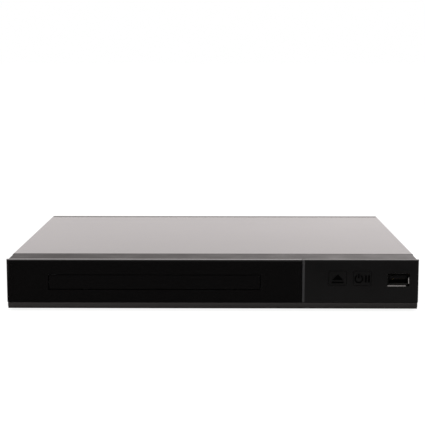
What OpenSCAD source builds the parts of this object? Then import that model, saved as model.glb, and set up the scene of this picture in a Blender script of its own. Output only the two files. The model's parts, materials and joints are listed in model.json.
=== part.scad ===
// Slim disc player with a motor-driven tray, built from the pieces it comes apart into.
// Millimetres. X runs to the right, Y from the face to the back, Z up. The feet stand on z = 0.

/* [Case] */
// Width over the front panel
body_w = 270; // [266:1:290]
// Depth from the face to the back of the cover
body_d = 200; // [198:1:225]
// Height of the rubber feet under the pan
foot_h = 2.7; // [2:0.1:6]
// Radius of a rubber foot
foot_r = 7; // [5:0.5:9]
// Height of the front panel
face_h = 31.8; // [31.8:0.1:35]
// How far the cover stands above the front panel
cover_rise = 0.3; // [0.1:0.1:1]
// Thickness of the steel sheet in the pan, rear panel and cover
sheet_t = 0.8; // [0.6:0.1:1]
// Outer radius of the cover's long bends
bend_r = 1.2; // [1.2:0.1:3]
// Gap between the side of the cover and the side of the front panel
cover_inset = 0.4; // [0.2:0.1:0.8]
// Depth of the moulded band that runs along the top behind the face
band_d = 21; // [18:0.5:26]
// Height of the top of the dark strip along the face above the pan's underside
strip_h = 3.2; // [3:0.1:5]
// How far that strip reaches below the pan
strip_skirt = 1; // [0.4:0.1:1.2]
// Thickness of the face plates
plate_t = 3; // [2.6:0.1:3.4]
// Thickness of the front panel's moulded wall
panel_t = 2.4; // [2:0.1:3]
// Distance from the right side of the face to the strip between the two face plates
divider_edge = 75.4; // [75:0.2:83]
// Width of that strip
divider_w = 1.6; // [1:0.1:2.4]

/* [Tray] */
// Distance from the left side of the face to the middle of the tray
tray_edge = 97; // [95:0.5:99]
// How far the door reaches past the tray's flanges on each side
door_lap = 0.6; // [0.4:0.1:1.5]
// Height of the tray door
door_h = 9.1; // [9.1:0.1:10]
// Distance from the top of the face down to the door
door_drop = 10.5; // [10:0.1:10.5]
// Gap around the door
door_gap = 0.5; // [0.2:0.05:0.6]
// Diameter of the disc
disc_d = 120; // [119:0.5:120.5]
// Diameter of the small disc
small_disc_d = 80; // [76:1:84]
// Room around a disc in its recess
disc_room = 0.3; // [0.2:0.1:0.6]
// Distance from the face to the middle of the disc
disc_y = 72; // [71:0.5:74]
// Width of the tray's moulding beside the recess for the disc
tray_rim = 5.7; // [5.2:0.1:5.9]
// Length of the tray behind its door
tray_len = 169; // [166:0.5:170]
// How far the tray slides out
tray_travel = 134; // [120:1:135]

/* [Controls] */
// Distance from the right side of the face to the middle of the tray key
eject_edge = 53; // [51:0.5:57]
// Distance from the right side of the face to the middle of the power key
power_edge = 37; // [34:0.5:38]
// Width of a key
key_w = 11.4; // [9:0.1:12]
// Height of a key
key_h = 9.4; // [8:0.1:11]
// Gap around a key
key_gap = 0.25; // [0.15:0.05:0.4]
// Travel of a key
key_travel = 0.8; // [0.4:0.1:1]
// Distance from the top of the face down to the middle of the keys
key_drop = 12.2; // [11:0.1:13]
// Distance from the right side of the face to the middle of the memory stick socket
usb_edge = 13.2; // [12:0.2:17]
// Distance from the top of the face down to the middle of that socket
usb_drop = 13.1; // [12:0.1:14]

/* [Drive] */
// Tooth module of the tray drive
drive_module = 1; // [0.95:0.05:1]
// Teeth of the pinion that drives the tray
tray_pinion_teeth = 16; // [14:1:16]
// Teeth of the large wheel under it
drive_wheel_teeth = 34; // [28:1:34]
// Teeth of the pinion on the belt pulley
pulley_pinion_teeth = 12; // [12:1:14]
// Radius of the belt pulley
pulley_r = 12; // [10:0.5:12]
// Radius of the loading motor's pulley
motor_pulley_r = 4; // [3:0.1:5]
// Side of the square belt
belt_t = 1.4; // [1:0.1:1.6]
// Radius of the loading motor
motor_r = 10.5; // [9:0.1:10.8]
// Share of a tooth left off for backlash
tooth_slack = 0.1; // [0.08:0.01:0.15]
// Radius of the posts that the gears turn on
post_r = 1.5; // [1.2:0.1:1.8]
// Running clearance between a shaft and its bore
run_fit = 0.05; // [0.02:0.01:0.08]
// How far the cam slider moves
cam_travel = 12; // [10:0.5:12]

/* [Traverse] */
// Angle between the parked and the playing position
park_angle = 3.8; // [3.4:0.1:3.9]
// Distance from the disc's middle back to the hinge
hinge_back = 85; // [84:0.5:87]
// Radius of the turntable
turntable_r = 14.5; // [12:0.5:16]
// Radius of the hub that centres the disc
hub_r = 7.35; // [7.2:0.05:7.4]
// Radius of the spindle motor
spindle_r = 12; // [10:0.5:12.2]
// Radius of the two guide rods
rod_r = 1.5; // [1.2:0.1:1.7]
// Distance from the middle to each guide rod
rod_x = 24; // [23.5:0.1:24.2]
// Distance from the disc's middle to the lens, nearest
lens_near = 25; // [24:0.5:27]
// How far the pickup slides
sled_travel = 33; // [28:0.5:33.5]
// Tooth module of the feed drive
feed_module = 0.8; // [0.76:0.02:0.8]
// Teeth of the pinion that moves the pickup
feed_pinion_teeth = 12; // [12:1:13]
// Teeth of the large wheel under it
feed_wheel_teeth = 26; // [22:1:27]
// Teeth of the feed motor's pinion
feed_motor_teeth = 10; // [10:1:12]
// Radius of the feed motor
feed_motor_r = 8; // [6:0.5:8]

/* [Clamp] */
// Radius of the clamping puck
puck_r = 14; // [12:0.5:15.5]
// Radius of the puck's neck
neck_r = 9; // [8.8:0.1:10]
// Depth of the bridge, front to back
bridge_d = 40; // [36:1:44]

/* [Back] */
// How far the audio and video sockets stand out behind the cover
jack_proud = 8; // [6:0.5:10]
// Outer radius of a socket's metal barrel
jack_r = 4.15; // [4.1:0.05:4.2]
// Distance between neighbouring sockets
jack_pitch = 14; // [13:0.5:15]
// Distance from the right side of the case to the middle one of the three sockets
jack_edge = 51; // [50:0.5:53]
// Height of the sockets above the main board
jack_rise = 7.2; // [7:0.1:9]
// Distance from the right side of the case to the middle of the digital video socket
video_edge = 80; // [78:0.5:81]
// Distance from the right side of the case to the middle of the mains inlet
inlet_edge = 16; // [15:0.5:17]
// Distance between the mains pins
inlet_pitch = 8.6; // [8:0.1:9]
// Radius of a mains pin
inlet_pin_r = 1.2; // [1:0.1:1.4]

/* [Boards] */
// Thickness of a circuit board
board_t = 1.6; // [1:0.2:2]
// Height of the spacers under the boards
board_lift = 4.5; // [3.5:0.1:5]
// Depth of the power board
power_board_d = 72; // [66:1:76]
// Depth of the main board
main_board_d = 76; // [70:1:80]

/* [Hidden] */
$fn = 48;
eps = 0.02;
// Face and case
half_w = body_w / 2;
front_y = -(body_d + jack_proud) / 2;
face_top = foot_h + face_h;
cover_top = face_top + cover_rise;
cover_under = cover_top - sheet_t;
cover_half = half_w - cover_inset;
pan_top = foot_h + sheet_t;
strip_top = foot_h + strip_h;
strip_bottom = foot_h - strip_skirt;
divider_x = half_w - divider_edge;
edge_r = 0.9;
corner_r = 1.5;
seam = 0.25;
wall_back = plate_t + panel_t;
band_t = 2.2;
band_drop = 0.1;
band_step = 0.05;
band_shoulder = 1.2;
bead_h = 0.2;
bead_d = 3;
lip_d = 12;
lip_t = 2;
rest_gap = 0.3;
dimple_r = 4.5;
dimple_d = 1.2;
pan_half = cover_half - dimple_d - sheet_t;
flange_h = 8;
rear_lip_h = 7;
rear_out = body_d - sheet_t;
rear_in = rear_out - sheet_t;
side_screw_y = [60, 165];
side_screw_z = pan_top + 4.6;
rear_screw_x = [-118, -10, 118];
rear_screw_z = cover_top - 5;
screw_head_r = 3;
screw_r = 1.5;
screw_head_t = 1.1;
foot_x = half_w - 25;
foot_y = [26, body_d - 22];
// Tray widths and levels
tray_x = tray_edge - half_w;
tray_half = disc_d / 2 + disc_room + tray_rim;
flange_out = tray_half + 2.5;
door_w = 2 * (flange_out + door_lap);
door_top = face_top - door_drop;
door_bottom = door_top - door_h;
tray_top = door_top - 0.3;
rail_bottom = door_bottom + 0.4;
floor_under = tray_top - 5.5;
recess_floor = tray_top - 3.7;
small_floor = recess_floor - 0.8;
flange_top = floor_under + 1.6;
tray_wall = 1.4;
rail_w = 4;
tray_back = plate_t + tray_len;
slot_half = 18.5;
notch_half = puck_r + 2.5;
notch_floor = recess_floor + 2.2;
// Loader frame
loader_room = 5.5;
loader_wall = 2;
loader_inner = flange_out + loader_room;
loader_half = loader_inner + loader_wall;
loader_front = wall_back + 1.2;
loader_front_wall = 1.8;
loader_back = tray_back + 6;
loader_bottom = pan_top + 1.5;
loader_floor = loader_bottom + 1.6;
loader_top = tray_top + 1.1;
ledge_top = floor_under - 0.2;
ledge_t = 1.6;
ledge_in = tray_half + 1.3;
lip_bottom = flange_top + 0.3;
lip_top = lip_bottom + 1.4;
ear_half = 5.4;
ear_y = [24, 160];
damper_r = 5.2;
ear_x = loader_half + damper_r + 0.4;
damper_neck = 3.6;
damper_bore = 2;
damper_low = 0.5;
damper_high = 1.5;
damper_fit = 0.1;
boss_top = loader_bottom - damper_fit - damper_low;
ear_top = loader_floor + damper_fit + damper_high;
// Tray drive
rack_x = tray_half - 3;
tray_pinion_r = drive_module * tray_pinion_teeth / 2;
drive_wheel_r = drive_module * drive_wheel_teeth / 2;
pulley_pinion_r = drive_module * pulley_pinion_teeth / 2;
drive_x = rack_x - tray_pinion_r;
drive_y = 27;
pulley_x = drive_x - drive_wheel_r - pulley_pinion_r;
motor_x = -6;
motor_y = 24;
pinion_top = floor_under - 0.4;
wheel_top = pinion_top - 4.4;
wheel_bottom = wheel_top - 2.2;
belt_z = pinion_top - 1.6;
pulley_top = belt_z + 1.3;
pulley_bottom = belt_z - 1.3;
pulley_pinion_bottom = wheel_bottom - 0.2;
motor_top = pulley_bottom - 1.1;
motor_bottom = pan_top + 0.7;
motor_seat_t = 0.8;
motor_shaft_r = 1;
cam_y = 51;
cam_t = 2.4;
cam_bottom = loader_bottom + 0.6;
cam_top = floor_under - 0.5;
cam_left = -42;
cam_right = 28;
// The rack stands clear of the wheel, so the tooth heights of both are left between their pitch lines
cam_rack_y = drive_y + drive_wheel_r + 2 * drive_module + 0.4;
cam_arm_y = cam_rack_y + 2;
cam_rack_left = drive_x + 8.8;
cam_rack_right = loader_inner - 0.7;
cam_pin_x = [-22, 12];
cam_slack = 0.3;
// Traverse, given in its level playing position
seat_z = recess_floor + 1.4;
hub_top = seat_z + 1.6;
deck_top = seat_z - 9.2;
deck_t = 1.2;
deck_bottom = deck_top - deck_t;
deck_left = -32;
deck_right = 50;
deck_front = disc_y - spindle_r - 2.5;
deck_back = disc_y + hinge_back + 4;
hinge_y = disc_y + hinge_back;
hinge_z = deck_top + 0.3;
hinge_r = 2;
bracket_gap = 4.8;
bracket_t = 2.7;
cam_pin_r = 1.2;
cam_pin_level = seat_z - 6.1;
cam_pin_y = cam_y + cam_t / 2;
cam_pin_park = hinge_z + (cam_pin_level - hinge_z) * cos(park_angle)
  - (hinge_y - cam_pin_y) * sin(park_angle);
cam_rise = cam_pin_level - cam_pin_park;
spindle_top = seat_z - 4.2;
table_bottom = spindle_top + 0.3;
rod_z = deck_top + 2.8;
rod_front = disc_y + 6;
rod_back = disc_y + 82;
rod_block = 4;
rod_grip = 2.6;
sled_half = rod_x + 3;
sled_front = disc_y + spindle_r + 1.5;
sled_len = 30;
sled_bottom = deck_top + 0.6;
sled_top = deck_top + 5.4;
lens_y = disc_y + lens_near;
lens_deck = sled_top + 1.6;
lens_top = seat_z - 1.5;
holder_half = 5.5;
holder_gap = 0.7;
slot_past_lens = holder_half + holder_gap + 1.3;
feed_rack_x = sled_half + 3;
feed_pinion_r = feed_module * feed_pinion_teeth / 2;
feed_wheel_r = feed_module * feed_wheel_teeth / 2;
feed_motor_pinion_r = feed_module * feed_motor_teeth / 2;
feed_x = feed_rack_x + feed_pinion_r;
feed_y = disc_y + 44;
feed_reach = feed_wheel_r + feed_motor_pinion_r;
feed_motor_dx = 5.7;
feed_motor_x = feed_x + feed_motor_dx;
feed_motor_y = feed_y - sqrt(feed_reach * feed_reach - feed_motor_dx * feed_motor_dx);
feed_angle = atan2(feed_motor_y - feed_y, feed_motor_x - feed_x);
feed_hub_r = 3.3;
feed_wheel_top = deck_bottom - 0.3;
feed_wheel_bottom = feed_wheel_top - 1.8;
feed_rack_bottom = deck_top + 1.2;
feed_rack_top = feed_rack_bottom + 2.2;
feed_pinion_bottom = deck_top + 0.3;
feed_pinion_top = feed_rack_top + 0.3;
// Clamp
puck_bottom = seat_z + 1.5;
puck_top = puck_bottom + 1.7;
bridge_bottom = loader_top;
bridge_t = 2.5;
bridge_top = bridge_bottom + bridge_t;
cap_bottom = bridge_top + 0.2;
cap_top = cap_bottom + 1.8;
cap_r = neck_r + 3.5;
clamp_screw_x = loader_half - 5;
clamp_boss_r = 3.4;
// Controls
eject_x = half_w - eject_edge;
power_x = half_w - power_edge;
usb_x = half_w - usb_edge;
key_z = face_top - key_drop;
usb_z = face_top - usb_drop;
key_flange = 1.3;
flange_t = 1;
key_back = plate_t + 0.15;
stem_back = plate_t + 2.2;
stem_r = 2;
switch_tip = stem_back + key_travel + 0.1;
switch_front = switch_tip + 0.7;
switch_t = 2.6;
front_board_y = switch_front + switch_t;
front_board_left = divider_x + 4;
front_board_right = half_w - 4;
front_board_bottom = pan_top + 4;
front_board_top = face_top - 4.5;
ir_x = front_board_left + 4.5;
usb_half = 6.55;
usb_half_h = 2.85;
usb_wall = 0.3;
usb_open_half = 7.2;
usb_open_half_h = 4.4;
usb_front = 1.1;
usb_back = usb_front + 14;
// Boards and back
board_z = pan_top + board_lift;
board_top = board_z + board_t;
board_gap = 1;
board_left = tray_x + ear_x + ear_half + board_gap;
power_left = board_left + 2;
power_right = half_w - 6;
power_front = 28;
power_back = power_front + power_board_d;
sink_x = power_left + 8;
sink_reach = 8;
main_capacitor_r = 8;
main_capacitor_x = power_right - 12;
jack_x = half_w - jack_edge;
video_x = half_w - video_edge;
inlet_x = half_w - inlet_edge;
main_right = jack_x + jack_pitch + 8;
main_back = rear_in - 0.3;
main_front = main_back - main_board_d;
jack_z = board_top + jack_rise;
jack_bore = 3.4;
jack_root_r = jack_r + 0.5;
collar_out = 0.6;
ring_r = 5.6;
housing_d = 11;
video_half = 7.5;
video_half_h = 2.8;
video_z = board_top + 3.1;
inlet_z = pan_top + 11;
inlet_half = 10.5;
inlet_half_h = 6.8;
inlet_d = 14;
socket_d = 11.5;
socket_r = 4.15;
spacer_r = 3;

// ---- Shared shapes ----

// A box from one corner to the other
module block(x0, x1, y0, y1, z0, z1) {
  translate([x0, y0, z0]) cube([x1 - x0, y1 - y0, z1 - z0]);
}

// A round post along Z, then the same along Y and along X
module post(x, y, z0, z1, r) {
  translate([x, y, z0]) cylinder(r = r, h = z1 - z0);
}

module post_y(x, z, y0, y1, r) {
  translate([x, y1, z]) rotate([90, 0, 0]) cylinder(r = r, h = y1 - y0);
}

module post_x(y, z, x0, x1, r) {
  translate([x0, y, z]) rotate([0, 90, 0]) cylinder(r = r, h = x1 - x0);
}

// A flat outline in Y and Z, drawn out along X, then one in X and Z drawn out along Y
module along_x(x0, x1) {
  translate([x0, 0, 0]) rotate([90, 0, 90]) linear_extrude(height = x1 - x0) children();
}

module along_y(y0, y1) {
  translate([0, y1, 0]) rotate([90, 0, 0]) linear_extrude(height = y1 - y0) children();
}

module both_sides() {
  children();
  mirror([1, 0, 0]) children();
}

// Y is then the distance behind the face
module at_face() {
  translate([0, front_y, 0]) children();
}

// X is then counted from the middle of the tray
module at_tray() {
  translate([tray_x, front_y, 0]) children();
}

// The traverse's pieces are drawn level and parked by this turn about the hinge
module parked() {
  at_tray()
    translate([0, hinge_y, hinge_z])
      rotate([park_angle, 0, 0])
        translate([0, -hinge_y, -hinge_z]) children();
}

// A rectangle with its corner radius, centred
module rounded_rect(w, h, r) {
  square([w - 2 * r, h], center = true);
  square([w, h - 2 * r], center = true);
  for (sx = [-1, 1], sy = [-1, 1])
    translate([sx * (w / 2 - r), sy * (h / 2 - r)]) circle(r = r);
}

// ---- Teeth ----

pressure = 20;
tooth_addendum = 0.88;
tooth_dedendum = 1.2;
flank_steps = 3;

function involute(a) = tan(a) * 180 / PI - a;
function polar(r, a) = [r * cos(a), r * sin(a)];

// Half the angle that a tooth spans at radius r
function half_tooth(m, n, r) =
  let (rp = m * n / 2, rb = rp * cos(pressure), at = max(r, rb))
  90 / n * (1 - tooth_slack) + involute(pressure) - involute(acos(min(1, rb / at)));

// The outline of a gear, with a tooth on the X axis turned by turn
function gear_points(m, n, turn) =
  let (
    rp = m * n / 2,
    root = rp - tooth_dedendum * m,
    tip = rp + tooth_addendum * m,
    low = max(root, rp * cos(pressure)) + 0.01,
    radii = concat([root], [for (i = [0 : flank_steps]) low + (tip - low) * i / flank_steps])
  )
  [for (tooth = [0 : n - 1])
    for (side = [-1, 1])
      for (i = [0 : len(radii) - 1])
        let (r = radii[side < 0 ? i : len(radii) - 1 - i])
        polar(r, turn + 360 * tooth / n + side * half_tooth(m, n, r))];

module gear(m, n, turn, z0, z1) {
  translate([0, 0, z0]) linear_extrude(height = z1 - z0) polygon(gear_points(m, n, turn));
}

// A rack along Y with its teeth towards +X, pitch line at x = 0, a gap centred on y = 0
module rack(m, first, last, back, z0, z1) {
  pitch = PI * m;
  half = pitch / 4 * (1 - tooth_slack);
  tip = tooth_addendum * m;
  root = tooth_dedendum * m;
  slope = tan(pressure);
  teeth = [for (i = [first : last]) let (c = (i + 0.5) * pitch)
    each [
      [-root, c - half - root * slope], [tip, c - half + tip * slope],
      [tip, c + half - tip * slope], [-root, c + half + root * slope]
    ]];
  outline = concat(
    [[-back, first * pitch], [-root, first * pitch]],
    teeth,
    [[-root, (last + 1) * pitch], [-back, (last + 1) * pitch]]
  );
  translate([0, 0, z0]) linear_extrude(height = z1 - z0) polygon(outline);
}

// ---- Case ----

module bottom_pan() {
  color("silver") {
    difference() {
      at_face() {
        block(-pan_half, pan_half, lip_d + rest_gap, rear_out, foot_h, pan_top);
        both_sides()
          block(pan_half - sheet_t, pan_half, band_d + 1, rear_in - 1, pan_top - eps, pan_top + flange_h);
        block(-pan_half + 20, pan_half - 20, lip_d + rest_gap, lip_d + rest_gap + sheet_t,
          pan_top - eps, loader_bottom - rest_gap);
      }
      at_face() {
        for (i = [0 : 11])
          block(60 + 5 * i, 62 + 5 * i, 46, 76, foot_h - 1, pan_top + 1);
        both_sides()
          for (y = side_screw_y)
            post_x(y, side_screw_z, pan_half - 2, pan_half + 1, screw_r);
      }
    }
    at_tray()
      for (sx = [-1, 1], y = ear_y)
        difference() {
          post(sx * ear_x, y, pan_top, boss_top, damper_r);
          post(sx * ear_x, y, pan_top, boss_top + 1, damper_bore);
        }
    at_face()
      for (p = spacer_places())
        difference() {
          post(p[0], p[1], pan_top, board_z, spacer_r);
          post(p[0], p[1], pan_top, board_z + 1, screw_r);
        }
  }
}

module rear_panel() {
  color("silver") at_face()
    difference() {
      union() {
        block(-pan_half, pan_half, rear_in, rear_out, pan_top, cover_under);
        block(-pan_half, pan_half, rear_in - 8, rear_in, cover_under - sheet_t, cover_under);
      }
      both_sides()
        block(pan_half - bend_r / 2, pan_half + 1, rear_in - 9, rear_out + 1,
          cover_under - bend_r / 2, cover_under + 1);
      for (x = jack_places())
        post_y(x, jack_z, rear_in - 1, rear_out + 1, ring_r + 0.2);
      block(video_x - video_half - 0.3, video_x + video_half + 0.3, rear_in - 1, rear_out + 1,
        video_z - video_half_h - 0.3, video_z + video_half_h + 0.3);
      block(inlet_x - inlet_half + 1.5, inlet_x + inlet_half - 1.5, rear_in - 1, rear_out + 1,
        inlet_z - inlet_half_h + 1.2, inlet_z + inlet_half_h - 1.2);
      for (x = rear_screw_x)
        post_y(x, rear_screw_z, rear_in - 1, rear_out + 1, screw_r);
      for (i = [0 : 13])
        block(-60 + 6 * i, -57 + 6 * i, rear_in - 1, rear_out + 1, pan_top + 9, pan_top + 19);
    }
}

// The bent section of the cover, seen from the front
module cover_section(half, top, r) {
  bottom = pan_top + 0.8;
  translate([-half, bottom]) square([2 * half, top - bottom - r]);
  translate([-half + r, bottom]) square([2 * (half - r), top - bottom]);
  for (s = [-1, 1])
    translate([s * (half - r), top - r]) circle(r = r);
}

module top_cover() {
  front = band_d + seam;
  color("dimgray") at_face()
    difference() {
      union() {
        difference() {
          along_y(front, body_d) cover_section(cover_half, cover_top, bend_r);
          along_y(front - 1, rear_out) cover_section(cover_half - sheet_t, cover_under, bend_r - sheet_t);
          block(-half_w, half_w, front - 1, rear_out, foot_h, pan_top + 1);
          block(-cover_half + sheet_t, cover_half - sheet_t, rear_out - 1, body_d + 1,
            foot_h, cover_top - rear_lip_h - sheet_t);
        }
        block(-cover_half + bend_r, cover_half - bend_r, body_d - bead_d, body_d, cover_top - eps,
          cover_top + bead_h);
        both_sides()
          for (y = side_screw_y)
            post_x(y, side_screw_z, cover_half - dimple_d - sheet_t, cover_half - sheet_t + eps,
              dimple_r + sheet_t);
      }
      both_sides()
        for (y = side_screw_y) {
          post_x(y, side_screw_z, cover_half - dimple_d, cover_half + 1, dimple_r);
          post_x(y, side_screw_z, cover_half - 6, cover_half + 1, screw_r);
        }
      both_sides()
        for (i = [0 : 9])
          block(cover_half - 2, cover_half + 1, 84 + 6 * i, 87 + 6 * i, pan_top + 13, pan_top + 23);
      for (x = rear_screw_x)
        post_y(x, rear_screw_z, rear_out - 1, body_d + 1, screw_r);
    }
}

module rubber_feet() {
  color("black") at_face()
    both_sides()
      for (y = foot_y)
        difference() {
          post(foot_x, y, 0, foot_h, foot_r);
          post(foot_x, y, -1, foot_h - 1.5, 2);
        }
}

// A pan-head screw along -Z, its head's underside at z = 0, with a cross recess
module screw(length) {
  difference() {
    union() {
      cylinder(r = screw_head_r, h = screw_head_t);
      translate([0, 0, -length]) cylinder(r = screw_r, h = length + eps);
    }
    for (turn = [0, 90])
      rotate(turn) block(-1.7, 1.7, -0.35, 0.35, screw_head_t - 0.6, screw_head_t + 1);
  }
}

module cover_screws() {
  color("gray") at_face() {
    both_sides()
      for (y = side_screw_y)
        translate([cover_half - dimple_d, y, side_screw_z]) rotate([0, 90, 0]) screw(3);
    for (x = rear_screw_x)
      translate([x, body_d, rear_screw_z]) rotate([-90, 0, 0]) screw(4);
  }
}

// ---- Front ----

// Section of a face plate with its top front edge rounded
module plate_section(bottom, top) {
  translate([0, bottom]) square([plate_t, top - bottom - edge_r]);
  translate([edge_r, bottom]) square([plate_t - edge_r, top - bottom]);
  translate([edge_r, top - edge_r]) circle(r = edge_r);
}

// The plan of the front, with round outer corners
module front_plan() {
  translate([-half_w, corner_r]) square([body_w, band_d]);
  translate([-half_w + corner_r, 0]) square([body_w - 2 * corner_r, band_d]);
  for (s = [-1, 1])
    translate([s * (half_w - corner_r), corner_r]) circle(r = corner_r);
}

module face_plate(x0, x1) {
  intersection() {
    along_x(x0, x1) plate_section(strip_top + seam, face_top);
    linear_extrude(height = cover_top) front_plan();
  }
}

module front_window() {
  grow = door_gap;
  color("black") at_face()
    difference() {
      face_plate(-half_w, divider_x - divider_w / 2 - seam);
      block(tray_x - door_w / 2 - grow, tray_x + door_w / 2 + grow, -1, plate_t + 1,
        door_bottom - grow, door_top + grow);
    }
}

module control_panel() {
  color("dimgray") at_face()
    difference() {
      face_plate(divider_x + divider_w / 2, half_w);
      for (x = [eject_x, power_x])
        translate([x, 0, key_z])
          along_y(-1, plate_t + 1) rounded_rect(key_w + 2 * key_gap, key_h + 2 * key_gap, 1.5 + key_gap);
      block(usb_x - usb_open_half, usb_x + usb_open_half, -1, plate_t + 1,
        usb_z - usb_open_half_h, usb_z + usb_open_half_h);
    }
}

module divider_trim() {
  x0 = divider_x - divider_w / 2;
  color("gray") at_face()
    difference() {
      block(x0, x0 + divider_w, 0, plate_t, strip_top + seam, face_top - 0.1);
      translate([x0, 0, 0]) rotate([0, 0, -45]) block(-1, 1, -0.5, 0.25, foot_h, cover_top);
    }
}

module front_panel() {
  inset = 0.5;
  top = face_top - band_drop;
  color([0.2, 0.2, 0.2]) at_face()
    difference() {
      intersection() {
        union() {
          block(-half_w, half_w, plate_t, wall_back, foot_h, top);
          along_x(-half_w, half_w)
            polygon([[plate_t, top - band_t], [plate_t, top], [band_d, cover_top - band_step],
              [band_d, top - band_t]]);
          both_sides() block(half_w - panel_t, half_w, plate_t, band_d, foot_h, top);
          block(-half_w, half_w, plate_t, lip_d, foot_h, foot_h + lip_t);
          along_x(-half_w + inset, half_w - inset)
            polygon([[inset, strip_top], [inset, strip_bottom + 1.6], [inset + 0.8, strip_bottom],
              [wall_back, strip_bottom], [wall_back, strip_top]]);
        }
        linear_extrude(height = cover_top) front_plan();
      }
      block(tray_x - door_w / 2 - 0.6, tray_x + door_w / 2 + 0.6, 0, wall_back + 1,
        door_bottom - 0.6, door_top + 0.6);
      for (x = [eject_x, power_x])
        block(x - key_w / 2 - key_flange - 0.4, x + key_w / 2 + key_flange + 0.4, 0, wall_back + 1,
          key_z - key_h / 2 - key_flange - 0.4, key_z + key_h / 2 + key_flange + 0.4);
      block(usb_x - usb_open_half, usb_x + usb_open_half, 0, wall_back + 1,
        usb_z - usb_open_half_h, usb_z + usb_open_half_h);
      post_y(ir_x, key_z, 0, wall_back + 1, 2.6);
      both_sides() along_y(plate_t, band_d + 1)
        polygon([[half_w - band_shoulder - 1, top + 1], [half_w + 1, top - band_shoulder - 1],
          [half_w + 1, top + 1]]);
    }
}

module tray_door() {
  color("black") at_face()
    block(tray_x - door_w / 2, tray_x + door_w / 2, 0, plate_t, door_bottom, door_top);
}

// A key: cap, flange behind the plate, and a stem towards its switch
module key(x) {
  at_face() {
    translate([x, 0, key_z]) {
      along_y(0, key_back + eps) rounded_rect(key_w, key_h, 1.5);
      along_y(key_back, key_back + flange_t)
        rounded_rect(key_w + 2 * key_flange, key_h + 2 * key_flange, 1.5);
    }
    post_y(x, key_z, key_back, stem_back, stem_r);
  }
}

// An arrowhead over a bar, as on any tray key
module eject_key() {
  color("dimgray")
    difference() {
      key(eject_x);
      at_face() translate([eject_x, 0, key_z]) along_y(-1, 0.3) {
        polygon([[-4, -1.3], [4, -1.3], [0, 2.7]]);
        translate([-4, -3.4]) square([8, 1.2]);
      }
    }
}

// A broken ring with a stroke, and two bars, as on any key for power and pause
module power_key() {
  color("dimgray")
    difference() {
      key(power_x);
      at_face() translate([power_x, 0, key_z]) along_y(-1, 0.3) {
        translate([-2.2, -0.4]) {
          difference() {
            circle(r = 2.9);
            circle(r = 1.9);
            translate([-1.1, 0]) square([2.2, 4]);
          }
          translate([-0.5, 0.4]) square([1, 3.2]);
        }
        for (bar = [1.8, 3.8])
          translate([bar, -2.9]) square([1.2, 5]);
      }
    }
}

module usb_shell() {
  back = usb_back;
  lip = 1.5;
  color("silver") at_face() translate([usb_x, 0, usb_z]) {
    difference() {
      block(-usb_half, usb_half, usb_front + 0.6, back, -usb_half_h, usb_half_h);
      block(-usb_half + usb_wall, usb_half - usb_wall, 0, back - 1,
        -usb_half_h + usb_wall, usb_half_h - usb_wall);
    }
    for (s = [-1, 1]) {
      mirror([0, 0, s < 0 ? 1 : 0])
        translate([0, usb_front + 0.8, usb_half_h - usb_wall]) rotate([-40, 0, 0])
          block(-usb_half + 0.4, usb_half - 0.4, -lip, 0.2, 0, usb_wall);
      mirror([s < 0 ? 1 : 0, 0, 0])
        translate([usb_half - usb_wall, usb_front + 0.8, 0]) rotate([0, 0, 20])
          block(0, usb_wall, -0.8, 0.2, -usb_half_h + 0.6, usb_half_h - 0.6);
    }
  }
}

module usb_tongue() {
  back = usb_back - 1;
  color("white") at_face() translate([usb_x, 0, usb_z]) {
    block(-5.6, 5.6, usb_front + 1.6, back - 1.5 + eps, 0.2, 2.04);
    block(-usb_half + usb_wall, usb_half - usb_wall, back - 1.5, back,
      -usb_half_h + usb_wall, usb_half_h - usb_wall);
  }
}

module front_board() {
  color("darkgreen") at_face()
    difference() {
      block(front_board_left, front_board_right, front_board_y, front_board_y + board_t,
        front_board_bottom, front_board_top);
      block(usb_x - usb_half, usb_x + usb_half, front_board_y - 1, front_board_y + board_t + 1,
        usb_z - usb_half_h, usb_z + usb_half_h);
    }
}

module tact_switches() {
  color("silver") at_face()
    for (x = [eject_x, power_x]) {
      block(x - 3, x + 3, switch_front, front_board_y, key_z - 3, key_z + 3);
      post_y(x, key_z, switch_tip, switch_front + eps, 1.7);
    }
}

module ir_receiver() {
  color("black") at_face() {
    block(ir_x - 2.6, ir_x + 2.6, front_board_y - 2.4, front_board_y, key_z - 3.2, key_z + 3.2);
    difference() {
      translate([ir_x, front_board_y - 2.4, key_z]) sphere(r = 2.2);
      block(ir_x - 4, ir_x + 4, front_board_y - 2.4, front_board_y + 2, key_z - 4, key_z + 4);
    }
  }
}

// ---- Tray ----

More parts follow.
